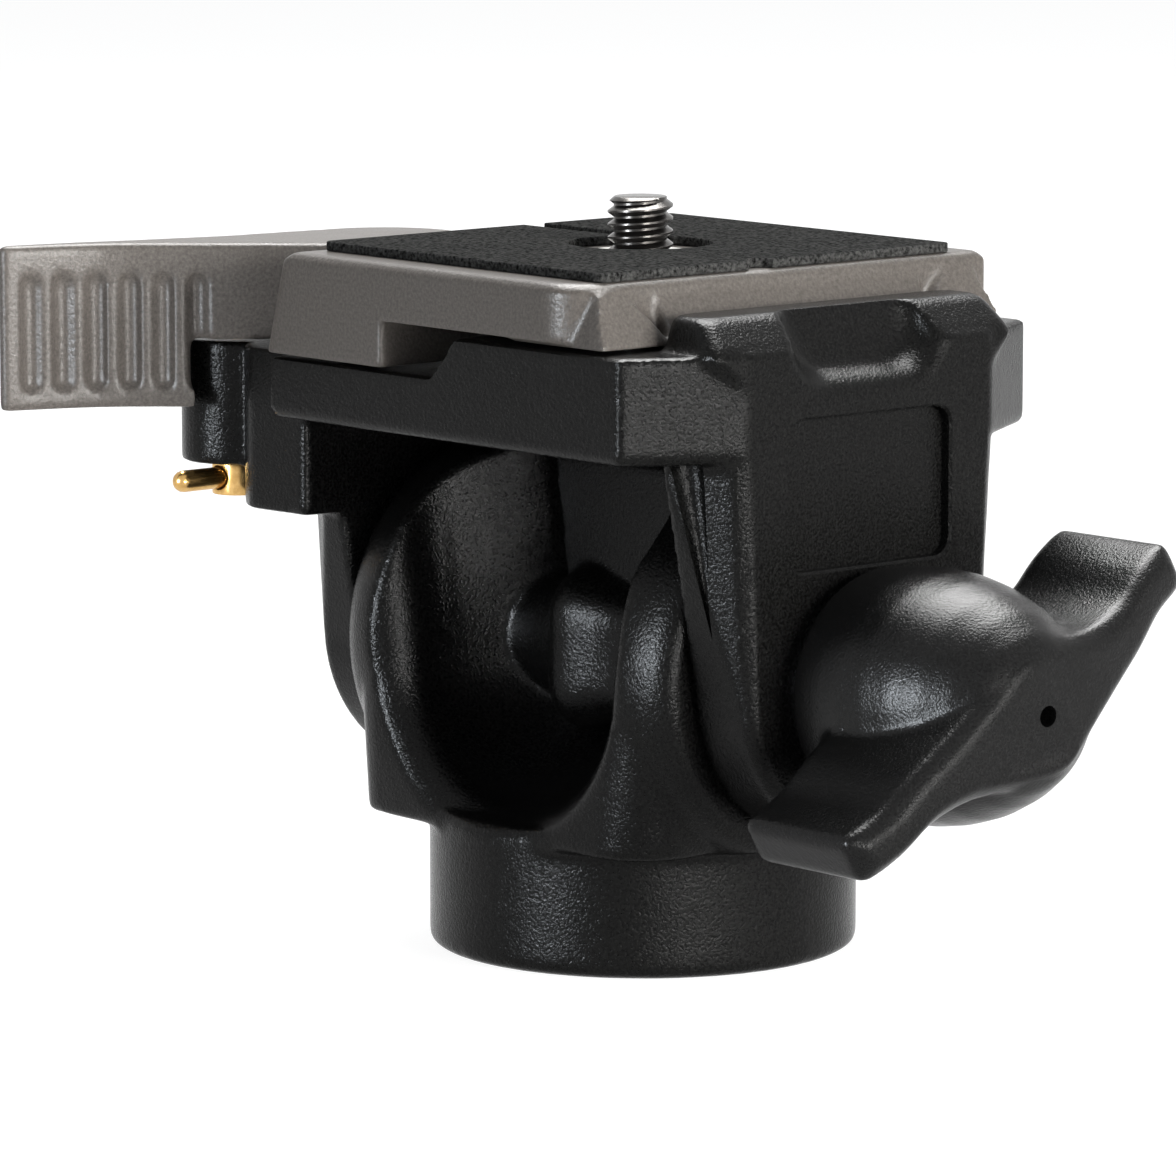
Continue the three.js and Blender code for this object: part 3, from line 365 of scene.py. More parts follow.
def blendColours(tree, share, first, second):
    return addNode(tree, "ShaderNodeMix", {0: share, 6: first, 7: second},
                   data_type="RGBA", blend_type="MIX").outputs[2]


def grainGroup():
    # Fine grain of a powder coat or of cast and moulded surfaces: beads, pits and slow waves.
    g = grainShape
    group, start, end = addGroup("surface grain", {
        "Grain Size": 4000.0, "Pits": 0.4, "Unevenness": 0.3, "Roughness": 0.45,
        "Roughness Spread": 0.12}, ("Height", "Roughness", "Shade"))
    size = start.outputs["Grain Size"]
    place = addNode(group, "ShaderNodeTexCoord").outputs["Object"]
    beads = addNode(group, "ShaderNodeTexNoise", {
        "Vector": place, "Scale": size, "Detail": g["beadDetail"], "Roughness": g["beadRoughness"]})
    pits = addNode(group, "ShaderNodeTexVoronoi", {
        "Vector": place, "Scale": calculate(group, "MULTIPLY", size, g["pitShare"]),
        "Smoothness": g["pitSmoothness"]}, feature="SMOOTH_F1")
    waves = addNode(group, "ShaderNodeTexNoise", {
        "Vector": place, "Scale": calculate(group, "MULTIPLY", size, g["waveShare"]),
        "Detail": g["waveDetail"]})
    bead, wave = beads.outputs["Fac"], waves.outputs["Fac"]
    pitted = calculate(group, "MULTIPLY", pits.outputs["Distance"], start.outputs["Pits"])
    wavy = calculate(group, "MULTIPLY", wave, start.outputs["Unevenness"])
    height = calculate(group, "ADD", calculate(group, "ADD", bead, pitted), wavy)
    spread = calculate(group, "MULTIPLY", calculate(group, "SUBTRACT", wave, 0.5),
                       calculate(group, "MULTIPLY", start.outputs["Roughness Spread"], 2.0))
    rough = calculate(group, "ADD", start.outputs["Roughness"], spread, clamp=True)
    for label, value in (("Height", height), ("Roughness", rough), ("Shade", bead)):
        group.links.new(value, end.inputs[label])
    return group


grain = grainGroup()


def paintedMaterial(name, look):
    material = bpy.data.materials.new(name)
    material.use_nodes = True
    tree = material.node_tree
    shader = tree.nodes["Principled BSDF"]
    texture = addNode(tree, "ShaderNodeGroup", {
        "Grain Size": look["grainSize"], "Pits": look["pits"], "Unevenness": look["unevenness"],
        "Roughness": look["roughness"], "Roughness Spread": look["roughnessSpread"]}, node_tree=grain)
    shade = stretch(tree, texture.outputs["Shade"], *grainShape["shadeRange"])
    colour = blendColours(tree, shade, look["dark"], look["light"])
    bump = addNode(tree, "ShaderNodeBump", {
        "Height": texture.outputs["Height"], "Strength": look["bump"], "Distance": look["depth"] * mm})
    tree.links.new(colour, shader.inputs["Base Color"])
    tree.links.new(texture.outputs["Roughness"], shader.inputs["Roughness"])
    tree.links.new(bump.outputs["Normal"], shader.inputs["Normal"])
    shader.inputs["Metallic"].default_value = look["metallic"]
    shader.inputs["Specular IOR Level"].default_value = look["specular"]
    return material


# Depth is the bump's, in millimetres.
looks = {
    "blackCoat": {
        "dark": (0.001, 0.001, 0.001, 1), "light": (0.008, 0.008, 0.0077, 1), "grainSize": 3600.0,
        "pits": 0.04, "unevenness": 0.3, "roughness": 0.2, "roughnessSpread": 0.03, "bump": 1.0,
        "depth": 0.075, "metallic": 0.0, "specular": 0.092},
    "greyCoat": {
        "dark": (0.07, 0.062, 0.056, 1), "light": (0.125, 0.111, 0.1, 1), "grainSize": 3200.0,
        "pits": 0.4, "unevenness": 0.7, "roughness": 0.36, "roughnessSpread": 0.08, "bump": 0.7,
        "depth": 0.06, "metallic": 0.0, "specular": 0.17},
    # The lever's coat is the grey coat painted lighter: painted light, standing in for the stronger
    # light that falls on the lever.
    "leverLitCoat": {
        "dark": (0.09, 0.08, 0.073, 1), "light": (0.16, 0.143, 0.13, 1), "grainSize": 3200.0,
        "pits": 0.4, "unevenness": 0.7, "roughness": 0.36, "roughnessSpread": 0.08, "bump": 0.7,
        "depth": 0.06, "metallic": 0.0, "specular": 0.17},
    "padRubber": {
        "dark": (0.006, 0.006, 0.006, 1), "light": (0.085, 0.085, 0.083, 1), "grainSize": 2600.0,
        "pits": 0.9, "unevenness": 0.4, "roughness": 0.85, "roughnessSpread": 0.06, "bump": 0.75,
        "depth": 0.14, "metallic": 0.0, "specular": 0.0},
    "knobPlastic": {
        "dark": (0.002, 0.002, 0.002, 1), "light": (0.009, 0.009, 0.009, 1), "grainSize": 4000.0,
        "pits": 0.04, "unevenness": 0.3, "roughness": 0.24, "roughnessSpread": 0.03, "bump": 1.0,
        "depth": 0.058, "metallic": 0.0, "specular": 0.14},
    "darkSteel": {
        "dark": (0.05, 0.047, 0.045, 1), "light": (0.1, 0.095, 0.09, 1), "grainSize": 1800.0,
        "pits": 0.2, "unevenness": 0.5, "roughness": 0.24, "roughnessSpread": 0.1, "bump": 0.15,
        "depth": 0.03, "metallic": 1.0, "specular": 0.5},
    "brightSteel": {
        "dark": (0.42, 0.42, 0.43, 1), "light": (0.56, 0.56, 0.57, 1), "grainSize": 1500.0,
        "pits": 0.2, "unevenness": 0.6, "roughness": 0.27, "roughnessSpread": 0.1, "bump": 0.15,
        "depth": 0.03, "metallic": 1.0, "specular": 0.5},
    "turnedBrass": {
        "dark": (0.5, 0.3, 0.1, 1), "light": (0.66, 0.43, 0.17, 1), "grainSize": 1500.0,
        "pits": 0.2, "unevenness": 0.6, "roughness": 0.26, "roughnessSpread": 0.1, "bump": 0.15,
        "depth": 0.03, "metallic": 1.0, "specular": 0.5},
    "paleNylon": {
        "dark": (0.62, 0.61, 0.58, 1), "light": (0.74, 0.73, 0.7, 1), "grainSize": 1500.0,
        "pits": 0.3, "unevenness": 0.5, "roughness": 0.5, "roughnessSpread": 0.08, "bump": 0.25,
        "depth": 0.04, "metallic": 0.0, "specular": 0.5},
}
finishes = {name: paintedMaterial(name, look) for name, look in looks.items()}
print("finishes made:", len(finishes))


# Camera, floor, background and lamps.

view = {
    "lens": 209.05, "sensor": 36, "farthest": 20, "place": (0.49054, -0.43473, 0.13248),
    "right": (0.6571, 0.7538, 0.0), "up": (-0.11137, 0.09708, 0.98903),
    "back": (0.74554, -0.64989, 0.14774),
}


def addCamera():
    bpy.ops.object.camera_add(location=view["place"])
    camera = bpy.context.object
    camera.name = "photoCamera"
    camera.data.lens = view["lens"]
    camera.data.sensor_width = view["sensor"]
    camera.data.clip_end = view["farthest"]
    turn = Matrix([view["right"], view["up"], view["back"]]).transposed().normalized()
    camera.rotation_euler = turn.to_euler()
    bpy.context.scene.camera = camera


addCamera()

white = (1, 1, 1, 1)
stageLook = {
    "floorSize": 6.0, "floorColour": (0.7, 0.7, 0.7, 1), "floorRoughness": 0.8,
    "seenFloorColour": (0.2, 0.2, 0.2, 1), "floorGlow": 0.92,
    "worldColour": (0.9, 0.95, 1.0, 1), "worldStrength": 0.25,
}


def seenRays(tree):
    # 1 for what the camera sees directly, in a reflection or through something clear.
    rays = addNode(tree, "ShaderNodeLightPath").outputs
    return calculate(tree, "MAXIMUM", rays["Is Camera Ray"],
                     calculate(tree, "MAXIMUM", rays["Is Glossy Ray"], rays["Is Transmission Ray"]))


def floorMaterial():
    # Seen directly or in a reflection, the floor is white and keeps a soft shadow.
    material = bpy.data.materials.new("pale floor")
    material.use_nodes = True
    tree = material.node_tree
    shader = tree.nodes["Principled BSDF"]
    shader.inputs["Base Color"].default_value = stageLook["floorColour"]
    shader.inputs["Roughness"].default_value = stageLook["floorRoughness"]
    glow = addNode(tree, "ShaderNodeEmission", {"Color": white, "Strength": stageLook["floorGlow"]})
    shadowed = addNode(tree, "ShaderNodeBsdfDiffuse", {"Color": stageLook["seenFloorColour"]})
    added = addNode(tree, "ShaderNodeAddShader", {0: shadowed.outputs[0], 1: glow.outputs[0]})
    chosen = addNode(tree, "ShaderNodeMixShader", {
        0: seenRays(tree), 1: shader.outputs[0], 2: added.outputs[0]})
    tree.links.new(chosen.outputs[0], tree.nodes["Material Output"].inputs["Surface"])
    return material


bpy.ops.mesh.primitive_plane_add(size=stageLook["floorSize"], location=(0, 0, 0))
floor = bpy.context.object
floor.name = "floor"
floor.data.materials.append(floorMaterial())


def makeBackground():
    world = bpy.data.worlds.new("studio")
    bpy.context.scene.world = world
    world.use_nodes = True
    tree = world.node_tree
    background = tree.nodes["Background"]
    seen, dim = seenRays(tree), stageLook["worldStrength"]
    colour = blendColours(tree, seen, stageLook["worldColour"], white)
    strength = calculate(tree, "ADD", dim, calculate(tree, "MULTIPLY", seen, 1 - dim))
    tree.links.new(colour, background.inputs["Color"])
    tree.links.new(strength, background.inputs["Strength"])


makeBackground()

# Each lamp: place, size, colour, the power that lights colours and the power that only shines.
lampTarget = (0, 0, 0.04)
lamps = {
    "overheadSoftbox": ((-0.5, 0.2, 0.74), (0.5, 0.3), (1, 1, 0.99), 9.5, 0.0),
    "overheadPanel": ((-0.24, 0.24, 0.82), (0.6, 0.6), (1, 1, 0.99), 0.0, 26.0),
    "rightSoftbox": ((0.93, 0.08, 0.2), (0.42, 0.34), (1, 0.99, 0.96), 14.0, 28.0),
    "lowRightSoftbox": ((0.89, -0.31, 0.09), (0.26, 0.14), (1, 0.99, 0.97), 0.0, 5.5),
    "frontSoftbox": ((0.2, -0.9, 0.24), (0.3, 0.3), (0.92, 0.96, 1), 1.2, 0.0),
    "frontStrip": ((-0.05, -0.93, 0.15), (0.12, 0.28), (0.88, 0.94, 1), 0.0, 17.0),
}


def addLamp(name, place, size, colour, power):
    bpy.ops.object.light_add(type="AREA", location=place)
    lamp = bpy.context.object
    lamp.name = name
    lamp.data.shape = "RECTANGLE"
    lamp.data.size, lamp.data.size_y = size
    lamp.data.energy = power
    lamp.data.color = colour
    lamp.rotation_euler = (Vector(place) - Vector(lampTarget)).to_track_quat("Z", "Y").to_euler()
    return lamp


for name, (place, size, colour, lightPower, shinePower) in lamps.items():
    if lightPower:
        addLamp(name + "Light", place, size, colour, lightPower).visible_glossy = False
    if shinePower:
        addLamp(name + "Shine", place, size, colour, shinePower).visible_diffuse = False
bpy.context.scene.view_settings.view_transform = "Standard"
print("camera, floor, background and lamps placed")


# Foot, trunk and lobes.

casting = {
    "footRadius": 20.8, "footTop": 12.3, "footEdge": 0.9, "footSteps": 3,
    "trunkHalf": (21, 19), "trunkCrown": 0.9, "trunkCorners": (3.4, 5.6), "cornerSteps": 5,
    "waistHalf": (23.6, 19.3), "waistCorner": 5.4, "middleShare": 0.45,
    "longFace": 12, "faceParts": 8,  # a face longer than this is divided
    "lobeRadius": 19.6, "lobeHalf": 24, "lobeEdge": (7.4, 3), "lobeSteps": 12,
    "scoopHalf": 15.3, "scoopTopHalf": 18.5, "scoopDepth": 14.2,
    "innerHalf": 9, "innerTopHalf": 11, "innerDepth": 8.6,
    "scoopTop": 49.5, "scoopLow": 13.9, "scoopRings": 15, "scoopStep": 6,
    "rollGap": 0.5, "middleOverlap": 0.02,
    "rimRoll": ((1.5, 5.2), (0.8, 4.1), (0.2, 3.1), (-0.5, 2.1), (-1.3, 1.2), (-2.3, 0.5),
                (-3.4, 0.1)),  # distance outwards and growth
    "boss": ((-5.5, 5.4), (-5.3, 6.8), (-4.6, 8.2), (-3.6, 9.1), (-2.4, 9.55), (-1.2, 9.5), (0.2, 9.1),
             (2, 8.4), (4, 7.9), (6.5, 7.7), (10, 7.9), (14, 8.6), (17, 9.2)),  # place and half width
    "bossTall": 0.84, "bossCorner": 0.5, "bossSteps": 10, "slimBossRadius": 6.4,
    "web": ((-5.6, 5, 34), (-8.9, 4, 47.8)), "webRight": 13,  # left end, half width and height
    "washerSeat": 12.4, "washerDepth": 0.7, "bushHole": 7.2, "bushDepth": 12.5,
    "voxel": 0.42, "softening": 10,
}


def divided(points, longest, parts):
    made = []
    for point, following in zip(points, points[1:] + points[:1]):
        far = hypot(following[0] - point[0], following[1] - point[1]) > longest
        for step in range(parts if far else 1):
            made.append(tuple(mix(a, b, step / parts) for a, b in zip(point, following)))
    return made


def trunkRing(share, z):
    s = casting
    halfX, halfY = (mix(a, b, share) for a, b in zip(s["trunkHalf"], s["waistHalf"]))
    left, right = (mix(corner, s["waistCorner"], share) for corner in s["trunkCorners"])
    box = roundedBox(-halfX, halfX, -halfY, halfY, (left, right, right, left), s["cornerSteps"])
    crown = s["trunkCrown"] * (1 - share)
    return [(x, y * (1 + crown / halfY * (1 - (x / halfX) ** 2)), z)
            for x, y in divided(box, s["longFace"], s["faceParts"])]


def scoopRing(half, topHalf, depth, y):
    s = casting
    below = [(half * cos(radians(a)), max(s["scoopLow"], tiltHeight + depth * sin(radians(a))))
             for a in range(180, 361, s["scoopStep"])]
    points = [(-topHalf, s["scoopTop"])] + below + [(topHalf, s["scoopTop"])]
    return [(x, y, z) for x, z in points]


def addScoop(side):
    # From the rolled rim inwards, and just past the middle.
    s = casting
    rings = [scoopRing(s["scoopHalf"] + grow, s["scoopTopHalf"] + grow, s["scoopDepth"] + grow,
                       side * (s["lobeRadius"] + out)) for out, grow in s["rimRoll"]]
    start = s["lobeRadius"] + s["rimRoll"][-1][0] - s["rollGap"]
    last = s["scoopRings"] - 1
    for step in range(s["scoopRings"]):
        share = cos(radians(90 * step / last))
        rings.append(scoopRing(
            mix(s["innerHalf"], s["scoopHalf"], share),
            mix(s["innerTopHalf"], s["scoopTopHalf"], share ** 2),
            mix(s["innerDepth"], s["scoopDepth"], share),
            side * start * (1 - step / last) - side * s["middleOverlap"]))
    return addLoft("scoop", rings)


def makeBaseCasting():
    s = casting
    half = s["lobeHalf"]
    foot = addRod("foot", s["footRadius"], 0, s["footTop"] + overlap, sides=mostSides)
    roundEdges(foot, lambda a, b: max(a.z, b.z) < near, s["footEdge"], s["footSteps"])
    trunk = addLoft("trunk", [
        trunkRing(0, s["footTop"]), trunkRing(s["middleShare"], mix(s["footTop"], tiltHeight, 0.5)),
        trunkRing(1, tiltHeight)])
    wide, deep = s["lobeEdge"]
    edge = [(s["lobeRadius"] - deep + deep * cos(radians(a)), half - wide + wide * sin(radians(a)))
            for a in (90 * step / s["lobeSteps"] for step in range(s["lobeSteps"] + 1))]
    lobes = addTurned("lobes", [(r, -x) for r, x in reversed(edge)] + edge, "X", tiltAxis, mostSides)
    cutAt(lobes, (0, 0, s["footTop"]), (0, 0, -1))
    combine(lobes, "UNION", trunk)
    combine(lobes, "DIFFERENCE", addScoop(-1), addScoop(1))
    boss = addLoft("boss", [[(x, *point) for point in roundedBox(
        -r, r, tiltHeight - s["bossTall"] * r, tiltHeight + s["bossTall"] * r, s["bossCorner"] * r,
        s["bossSteps"])] for x, r in s["boss"]])
    slim = addRod("slimBoss", s["slimBossRadius"], wide - half, 0, "X", tiltAxis)
    web = addLoft("web", [
        [(left, -deepY, z), (s["webRight"], -deepY, z), (s["webRight"], deepY, z), (left, deepY, z)]
        for left, deepY, z in s["web"]])
    whole = gather("baseCasting", lobes, foot, boss, slim, web)
    melt(whole, s["voxel"], s["softening"])
    seat, depth = s["washerSeat"], s["washerDepth"]
    combine(whole, "DIFFERENCE",
            addRod("bore", boltBore, -half - overlap, half + overlap, "X", tiltAxis, fewSides),
            addRod("rightSeat", seat, half - depth, half + overlap, "X", tiltAxis, manySides),
            addRod("leftSeat", seat, -half - overlap, depth - half, "X", tiltAxis, manySides),
            addRod("bushHole", s["bushHole"], -overlap, s["bushDepth"]))
    finishPiece(whole, "base", finishes["blackCoat"], ["base_casting"])


makeBaseCasting()


# Head: platform, ears, jaw and lever housing.

head = {
    "low": 51, "top": 61.1, "halfY": 26, "left": -25.3, "right": 25.9, "noseHalf": 15.5,
    "recess": {"floor": 57, "end": -1, "slope": 3.5, "before": 2},
    "lowEdge": 0.9, "lowEdgeSteps": 4, "ringPocketFloor": 58.2,
    "earInner": 24.5, "earOuter": 32, "leftEarOuter": 31.5, "earRadius": 15.2, "earEdge": 0.9,
    "earInnerHalf": 19.9, "earOuterHalf": 16.2, "earSteps": 30,
    "panel": {"half": 10.3, "low": 40.4, "high": 54.6, "corner": 1.8, "depth": 1.2, "chamfer": 0.25,
              "steps": 6},
    "jawInner": 23.6, "jawCorner": 1.3, "jawSteps": 5,
    "jaw": ((54.5, 32, 15.4), (57, 32, 15.7), (59, 32, 17.2), (60.9, 31.7, 19.3), (61.8, 31.1, 18.9),
            (63.9, 28.9, 18.2), (64.4, 28, 17.5)),  # height, outer face and half width
    "jawScoop": ((26.2, 6.2, 61.2, 3, 0.28), (26.5, 7.2, 60.4, 3.5, 0.26), (27.2, 8, 59.5, 4, 0.2),
                 (28.4, 8.6, 58.8, 4.3, 0.12), (30, 8.9, 58.3, 4.5, 0.05), (31, 9.2, 58, 4.6, 0),
                 (31.7, 9.8, 57.4, 5, 0), (32.1, 10.6, 56.7, 5.5, 0),
                 (34, 15, 52.6, 8, 0)),  # place, half width, lowest height, corner and slope
    "jawScoopTop": 68,
    "flute": {"top": (27, 18.7, 51), "end": (28.2, 16.35, 34.5), "radii": (1.7, 0.1), "sides": 24},
    "housing": {"front": -22.6, "ear": -22.3, "back": 5, "left": -38.9, "flat": -32.7, "low": 41,
                "top": 56.9, "corner": 9.5, "cornerSteps": 12, "backCorner": 3, "ridgeTurn": 19},
    "pivotBoss": 7.2, "pivotSeat": (4.4, 45.2), "springWell": (5.9, 51.6),  # radius and end
    "plunger": (-41.8, -17), "plungerBoss": 5.6, "plungerBossLow": 44.6,
    "plungerBore": 1.9, "plungerWell": (3, 46), "boltPocket": (7.2, 4.2),
    "voxel": 0.4, "softening": 5,
}


def earOutline(halfTop, radius):
    rise = head["low"] + overlap - tiltHeight
    start = atan2(rise, -halfTop) + acos(radius / hypot(halfTop, rise))
    steps = head["earSteps"]
    below = [(radius * cos(a), tiltHeight + radius * sin(a))
             for a in (mix(start, 3 * pi - start, step / steps) for step in range(steps + 1))]
    return [(-halfTop, tiltHeight + rise)] + below + [(halfTop, tiltHeight + rise)]


def addEar(side, outerX):
    s, edge = head, head["earEdge"]
    inner = earOutline(s["earInnerHalf"], s["earRadius"])
    outer = earOutline(s["earOuterHalf"], s["earRadius"])
    face = earOutline(s["earOuterHalf"] - edge, s["earRadius"] - edge)
    share = 1 - edge / (outerX - s["earInner"])
    shoulder = [(mix(a[0], b[0], share), mix(a[1], b[1], share)) for a, b in zip(inner, outer)]
    return addLoft("ear", [[(side * x, *point) for point in ring] for x, ring in (
        (s["earInner"], inner), (outerX - edge, shoulder), (outerX, face))])


def addFlute(side):
    (x1, y1, z1), (x2, y2, z2) = head["flute"]["top"], head["flute"]["end"]
    wide, narrow = head["flute"]["radii"]
    top, end = Vector((x1, side * y1, z1)), Vector((x2, side * y2, z2))
    line = top - end
    pickNothing()
    bpy.ops.mesh.primitive_cone_add(
        vertices=head["flute"]["sides"], radius1=narrow, radius2=wide, depth=line.length,
        location=(top + end) / 2, rotation=line.to_track_quat("Z", "Y").to_euler())
    return keepNew("flute")


def addHousing():
    # The rounding meets the front face at a ridge.
    s, h = head, head["housing"]
    corner, turned = h["corner"], radians(h["ridgeTurn"])
    across, back = h["flat"] + corner * sin(turned), h["front"] + corner * cos(turned)
    sweep = degrees(acos(min(1, (across - h["left"]) / corner)))
    rounding = arc(across, back, corner, 180 + sweep, 270 - h["ridgeTurn"], h["cornerSteps"])
    outline = [(-s["earInner"], h["back"]), (h["left"] + h["backCorner"], h["back"]),
               (h["left"], h["back"] - h["backCorner"])] + rounding + [(-s["earInner"], h["ear"])]
    return (addOutline("housing", outline, h["low"], h["top"]),
            addRod("pivotBoss", s["pivotBoss"], h["low"], h["top"], at=leverPivot, sides=manySides),
            addRod("plungerBoss", s["plungerBoss"], s["plungerBossLow"], h["top"], at=s["plunger"],
                   sides=manySides))


def addJawScoop():
    # A scooped pocket, deepest at the top, with a rolled lower lip.
    top = head["jawScoopTop"]
    rings = []
    for x, half, low, corner, slope in head["jawScoop"]:
        outline = [(half, top)] + arc(half - corner, low + corner, corner, 0, -90) \
            + arc(-half + corner, low + corner, corner, -90, -180) + [(-half, top)]
        rings.append([(x + slope * (top - z), y, z) for y, z in outline])
    return addLoft("jawScoop", rings)


def addPanel():
    # The bare recess in the right ear, with a chamfer round its mouth.
    p, face = head["panel"], head["earOuter"]
    rings = [(face - p["depth"], 0), (face - p["chamfer"], 0), (face + p["chamfer"], 2 * p["chamfer"])]
    return addLoft("panel", [
        [(x, *point) for point in roundedBox(
            -p["half"] - grow, p["half"] + grow, p["low"] - grow, p["high"] + grow,
            p["corner"] + grow, p["steps"])] for x, grow in rings])


def makeHeadCasting():
    s, h, r = head, head["housing"], head["recess"]
    platform = addOutline("headCasting", [
        (s["left"], -s["halfY"]), (s["right"], -s["halfY"]), (s["earOuter"], -s["noseHalf"]),
        (s["earOuter"], s["noseHalf"]), (s["right"], s["halfY"]), (s["left"], s["halfY"])],
        s["low"], s["top"])
    roundEdges(platform, lambda a, b: max(a.z, b.z) < s["low"] + near, s["lowEdge"], s["lowEdgeSteps"])
    before, rise = s["left"] - r["before"], r["end"] + r["slope"]
    recess = addOutline("recess", [
        (before, r["floor"]), (r["end"], r["floor"]), (rise, s["top"]), (rise, s["top"] + overlap),
        (before, s["top"] + overlap)], -s["halfY"] - overlap, s["halfY"] + overlap, "Y")
    combine(platform, "DIFFERENCE", recess)
    half = s["earOuterHalf"] - s["earEdge"]
    brow = addBlock("brow", (s["earInner"], -half, s["low"] - overlap),
                    (s["earOuter"], half, s["jaw"][1][0]))
    jaw = addLoft("jaw", [[(*point, z) for point in roundedBox(
        s["jawInner"], outer, -halfY, halfY, s["jawCorner"], s["jawSteps"])]
        for z, outer, halfY in s["jaw"]])
    combine(jaw, "DIFFERENCE", addJawScoop())
    rightEar = addEar(1, s["earOuter"])
    combine(rightEar, "UNION", brow)
    combine(platform, "UNION", rightEar)
    combine(platform, "DIFFERENCE", addJawScoop())
    whole = gather("headCasting", platform, jaw, addEar(-1, s["leftEarOuter"]), *addHousing())
    melt(whole, s["voxel"], s["softening"])
    left, top = -s["leftEarOuter"], h["top"] + overlap
    bolt, boltDepth = s["boltPocket"]
    seat, seatTop = s["pivotSeat"]
    spring, springFloor = s["springWell"]
    well, wellFloor = s["plungerWell"]
    combine(whole, "DIFFERENCE", addFlute(-1), addFlute(1), addPanel(),
            addRod("ringPocket", ringPocket, s["ringPocketFloor"], s["top"] + 2 * overlap,
                   at=screwPlace, sides=manySides),
            addRod("bore", boltBore, left - overlap, s["earOuter"] + overlap, "X", tiltAxis, fewSides),
            addRod("boltPocket", bolt, left - overlap, left + boltDepth, "X", tiltAxis),
            addRod("pivotBore", pivotBore, h["low"] - overlap, top, at=leverPivot, sides=fewSides),
            addRod("pivotSeat", seat, h["low"] - overlap, seatTop, at=leverPivot),
            addRod("springWell", spring, springFloor, top, at=leverPivot),
            addRod("plungerBore", s["plungerBore"], s["plungerBossLow"] - overlap, top, at=s["plunger"],
                   sides=fewSides),
            addRod("plungerWell", well, wellFloor, top, at=s["plunger"]))
    finishPiece(whole, "head", finishes["blackCoat"], ["head_casting"])


makeHeadCasting()


# Quick-release plate.

plate = {
    "top": 67.3, "low": 61.8, "halfY": 26.25, "leftTop": -23, "leftLow": -25.8, "right": 20.5,
    "edge": 0.7, "corners": (0.8, 5, 0.8, 0.8), "footLow": 57.3, "footEnd": -8.1, "footCorner": 0.3,
    "toeTop": 66, "toeStart": 10, "dovetail": (2.8, 61.5, 16.6),  # reach, lowest height, half width
    "toes": ((2.6, 61.4, 16.6, 25.4), (1.2, 64, 18.4, 24.6),
             (0.1, 66.3, 20.8, 23.8)),  # reach, height, inner and outer side
    "headPocket": (7.35, 64.05), "screwHole": 3.5, "retainerSeat": (5.65, 0.65),
    "voxel": 0.34, "softening": 4,
}


def makeQuickPlate():
    s, right, cut = plate, plate["right"], plate["edge"]

    def leftAt(z):
        return mix(s["leftTop"], s["leftLow"], (s["top"] - z) / (s["top"] - s["footLow"]))

    def ring(left, end, half, z, corners):
        return [(*point, z) for point in roundedBox(left, end, -half, half, corners)]

    slab = addLoft("quickPlate", [
        ring(leftAt(s["low"]), right, s["halfY"], s["low"], s["corners"]),
        ring(leftAt(s["top"] - cut), right, s["halfY"], s["top"] - cut, s["corners"]),
        ring(s["leftTop"] + cut, right - cut, s["halfY"] - cut, s["top"], s["corners"])])
    footCorners = (s["corners"][0], s["footCorner"], s["footCorner"], s["corners"][3])
    foot = addLoft("plateFoot", [
        ring(leftAt(z), s["footEnd"], s["halfY"], z, footCorners)
        for z in (s["footLow"], s["low"] + cut)])
    reach, low, half = s["dovetail"]
    dovetail = addOutline("wedge", [
        (0, low), (right + reach, low), (right, s["toeTop"]), (0, s["toeTop"])], -half, half, "Y")

    def toe(side):
        return addLoft("toe", [[
            (s["toeStart"], side * inner, z), (right + out, side * inner, z),
            (right + out, side * outer, z), (s["toeStart"], side * outer, z)]
            for out, z, inner, outer in s["toes"]])

    whole = gather("quickPlate", slab, foot, dovetail, toe(1), toe(-1))
    melt(whole, s["voxel"], s["softening"])
    pocket, pocketTop = s["headPocket"]
    seat, seatDepth = s["retainerSeat"]
    combine(whole, "DIFFERENCE",
            addRod("headPocket", pocket, s["footLow"] - overlap, pocketTop, at=screwPlace),
            addRod("ringPocket", ringPocket, s["footLow"] - overlap, s["low"], at=screwPlace,
                   sides=manySides),
            addRod("screwHole", s["screwHole"], s["footLow"], s["top"] + overlap, at=screwPlace),
            addRod("retainerSeat", seat, s["top"] - seatDepth, s["top"] + overlap, at=screwPlace,
                   sides=manySides))
    finishPiece(whole, "head", finishes["greyCoat"], ["quick_plate"])


makeQuickPlate()


# Rubber pad.

pad = {
    "low": 67.32, "high": 68.22, "left": -21.5, "right": 19.5, "halfY": 22.4, "corner": 1,
    "hole": 7, "holeSteps": 64, "slot": (3.2, 5.8), "notch": (-2.5, 1.5), "notchSteps": 12,
    "edge": 0.14, "edgeSteps": 3, "sharpOver": 40,
}


def makePad():
    # The outline runs from the slot round the pad, and back through the slot round the hole.
    s, radius, corner = pad, pad["hole"], pad["corner"]
    low, high = s["slot"]
    left, right, side = s["left"] + corner, s["right"] - corner, s["halfY"] - corner
    notchY, notch = s["notch"]
    start, end = 180 - degrees(asin(high / radius)), -180 - degrees(asin(low / radius))
    outline = [(s["left"], low)]
    outline += arc(left, -side, corner, 180, 270) + arc(right, -side, corner, 270, 360)
    outline += arc(s["right"], notchY, notch, 270, 90, s["notchSteps"])
    outline += arc(right, side, corner, 0, 90) + arc(left, side, corner, 90, 180)
    outline += [(s["left"], high)] + arc(*screwPlace, radius, start, end, s["holeSteps"])
    piece = addOutline("platePad", outline, s["low"], s["high"])
    useModifier(piece, "BEVEL", width=s["edge"], segments=s["edgeSteps"], limit_method="ANGLE",
                angle_limit=radians(s["sharpOver"]))
    finishPiece(piece, "head", finishes["padRubber"], ["plate_pad"])


makePad()


# Camera screw.

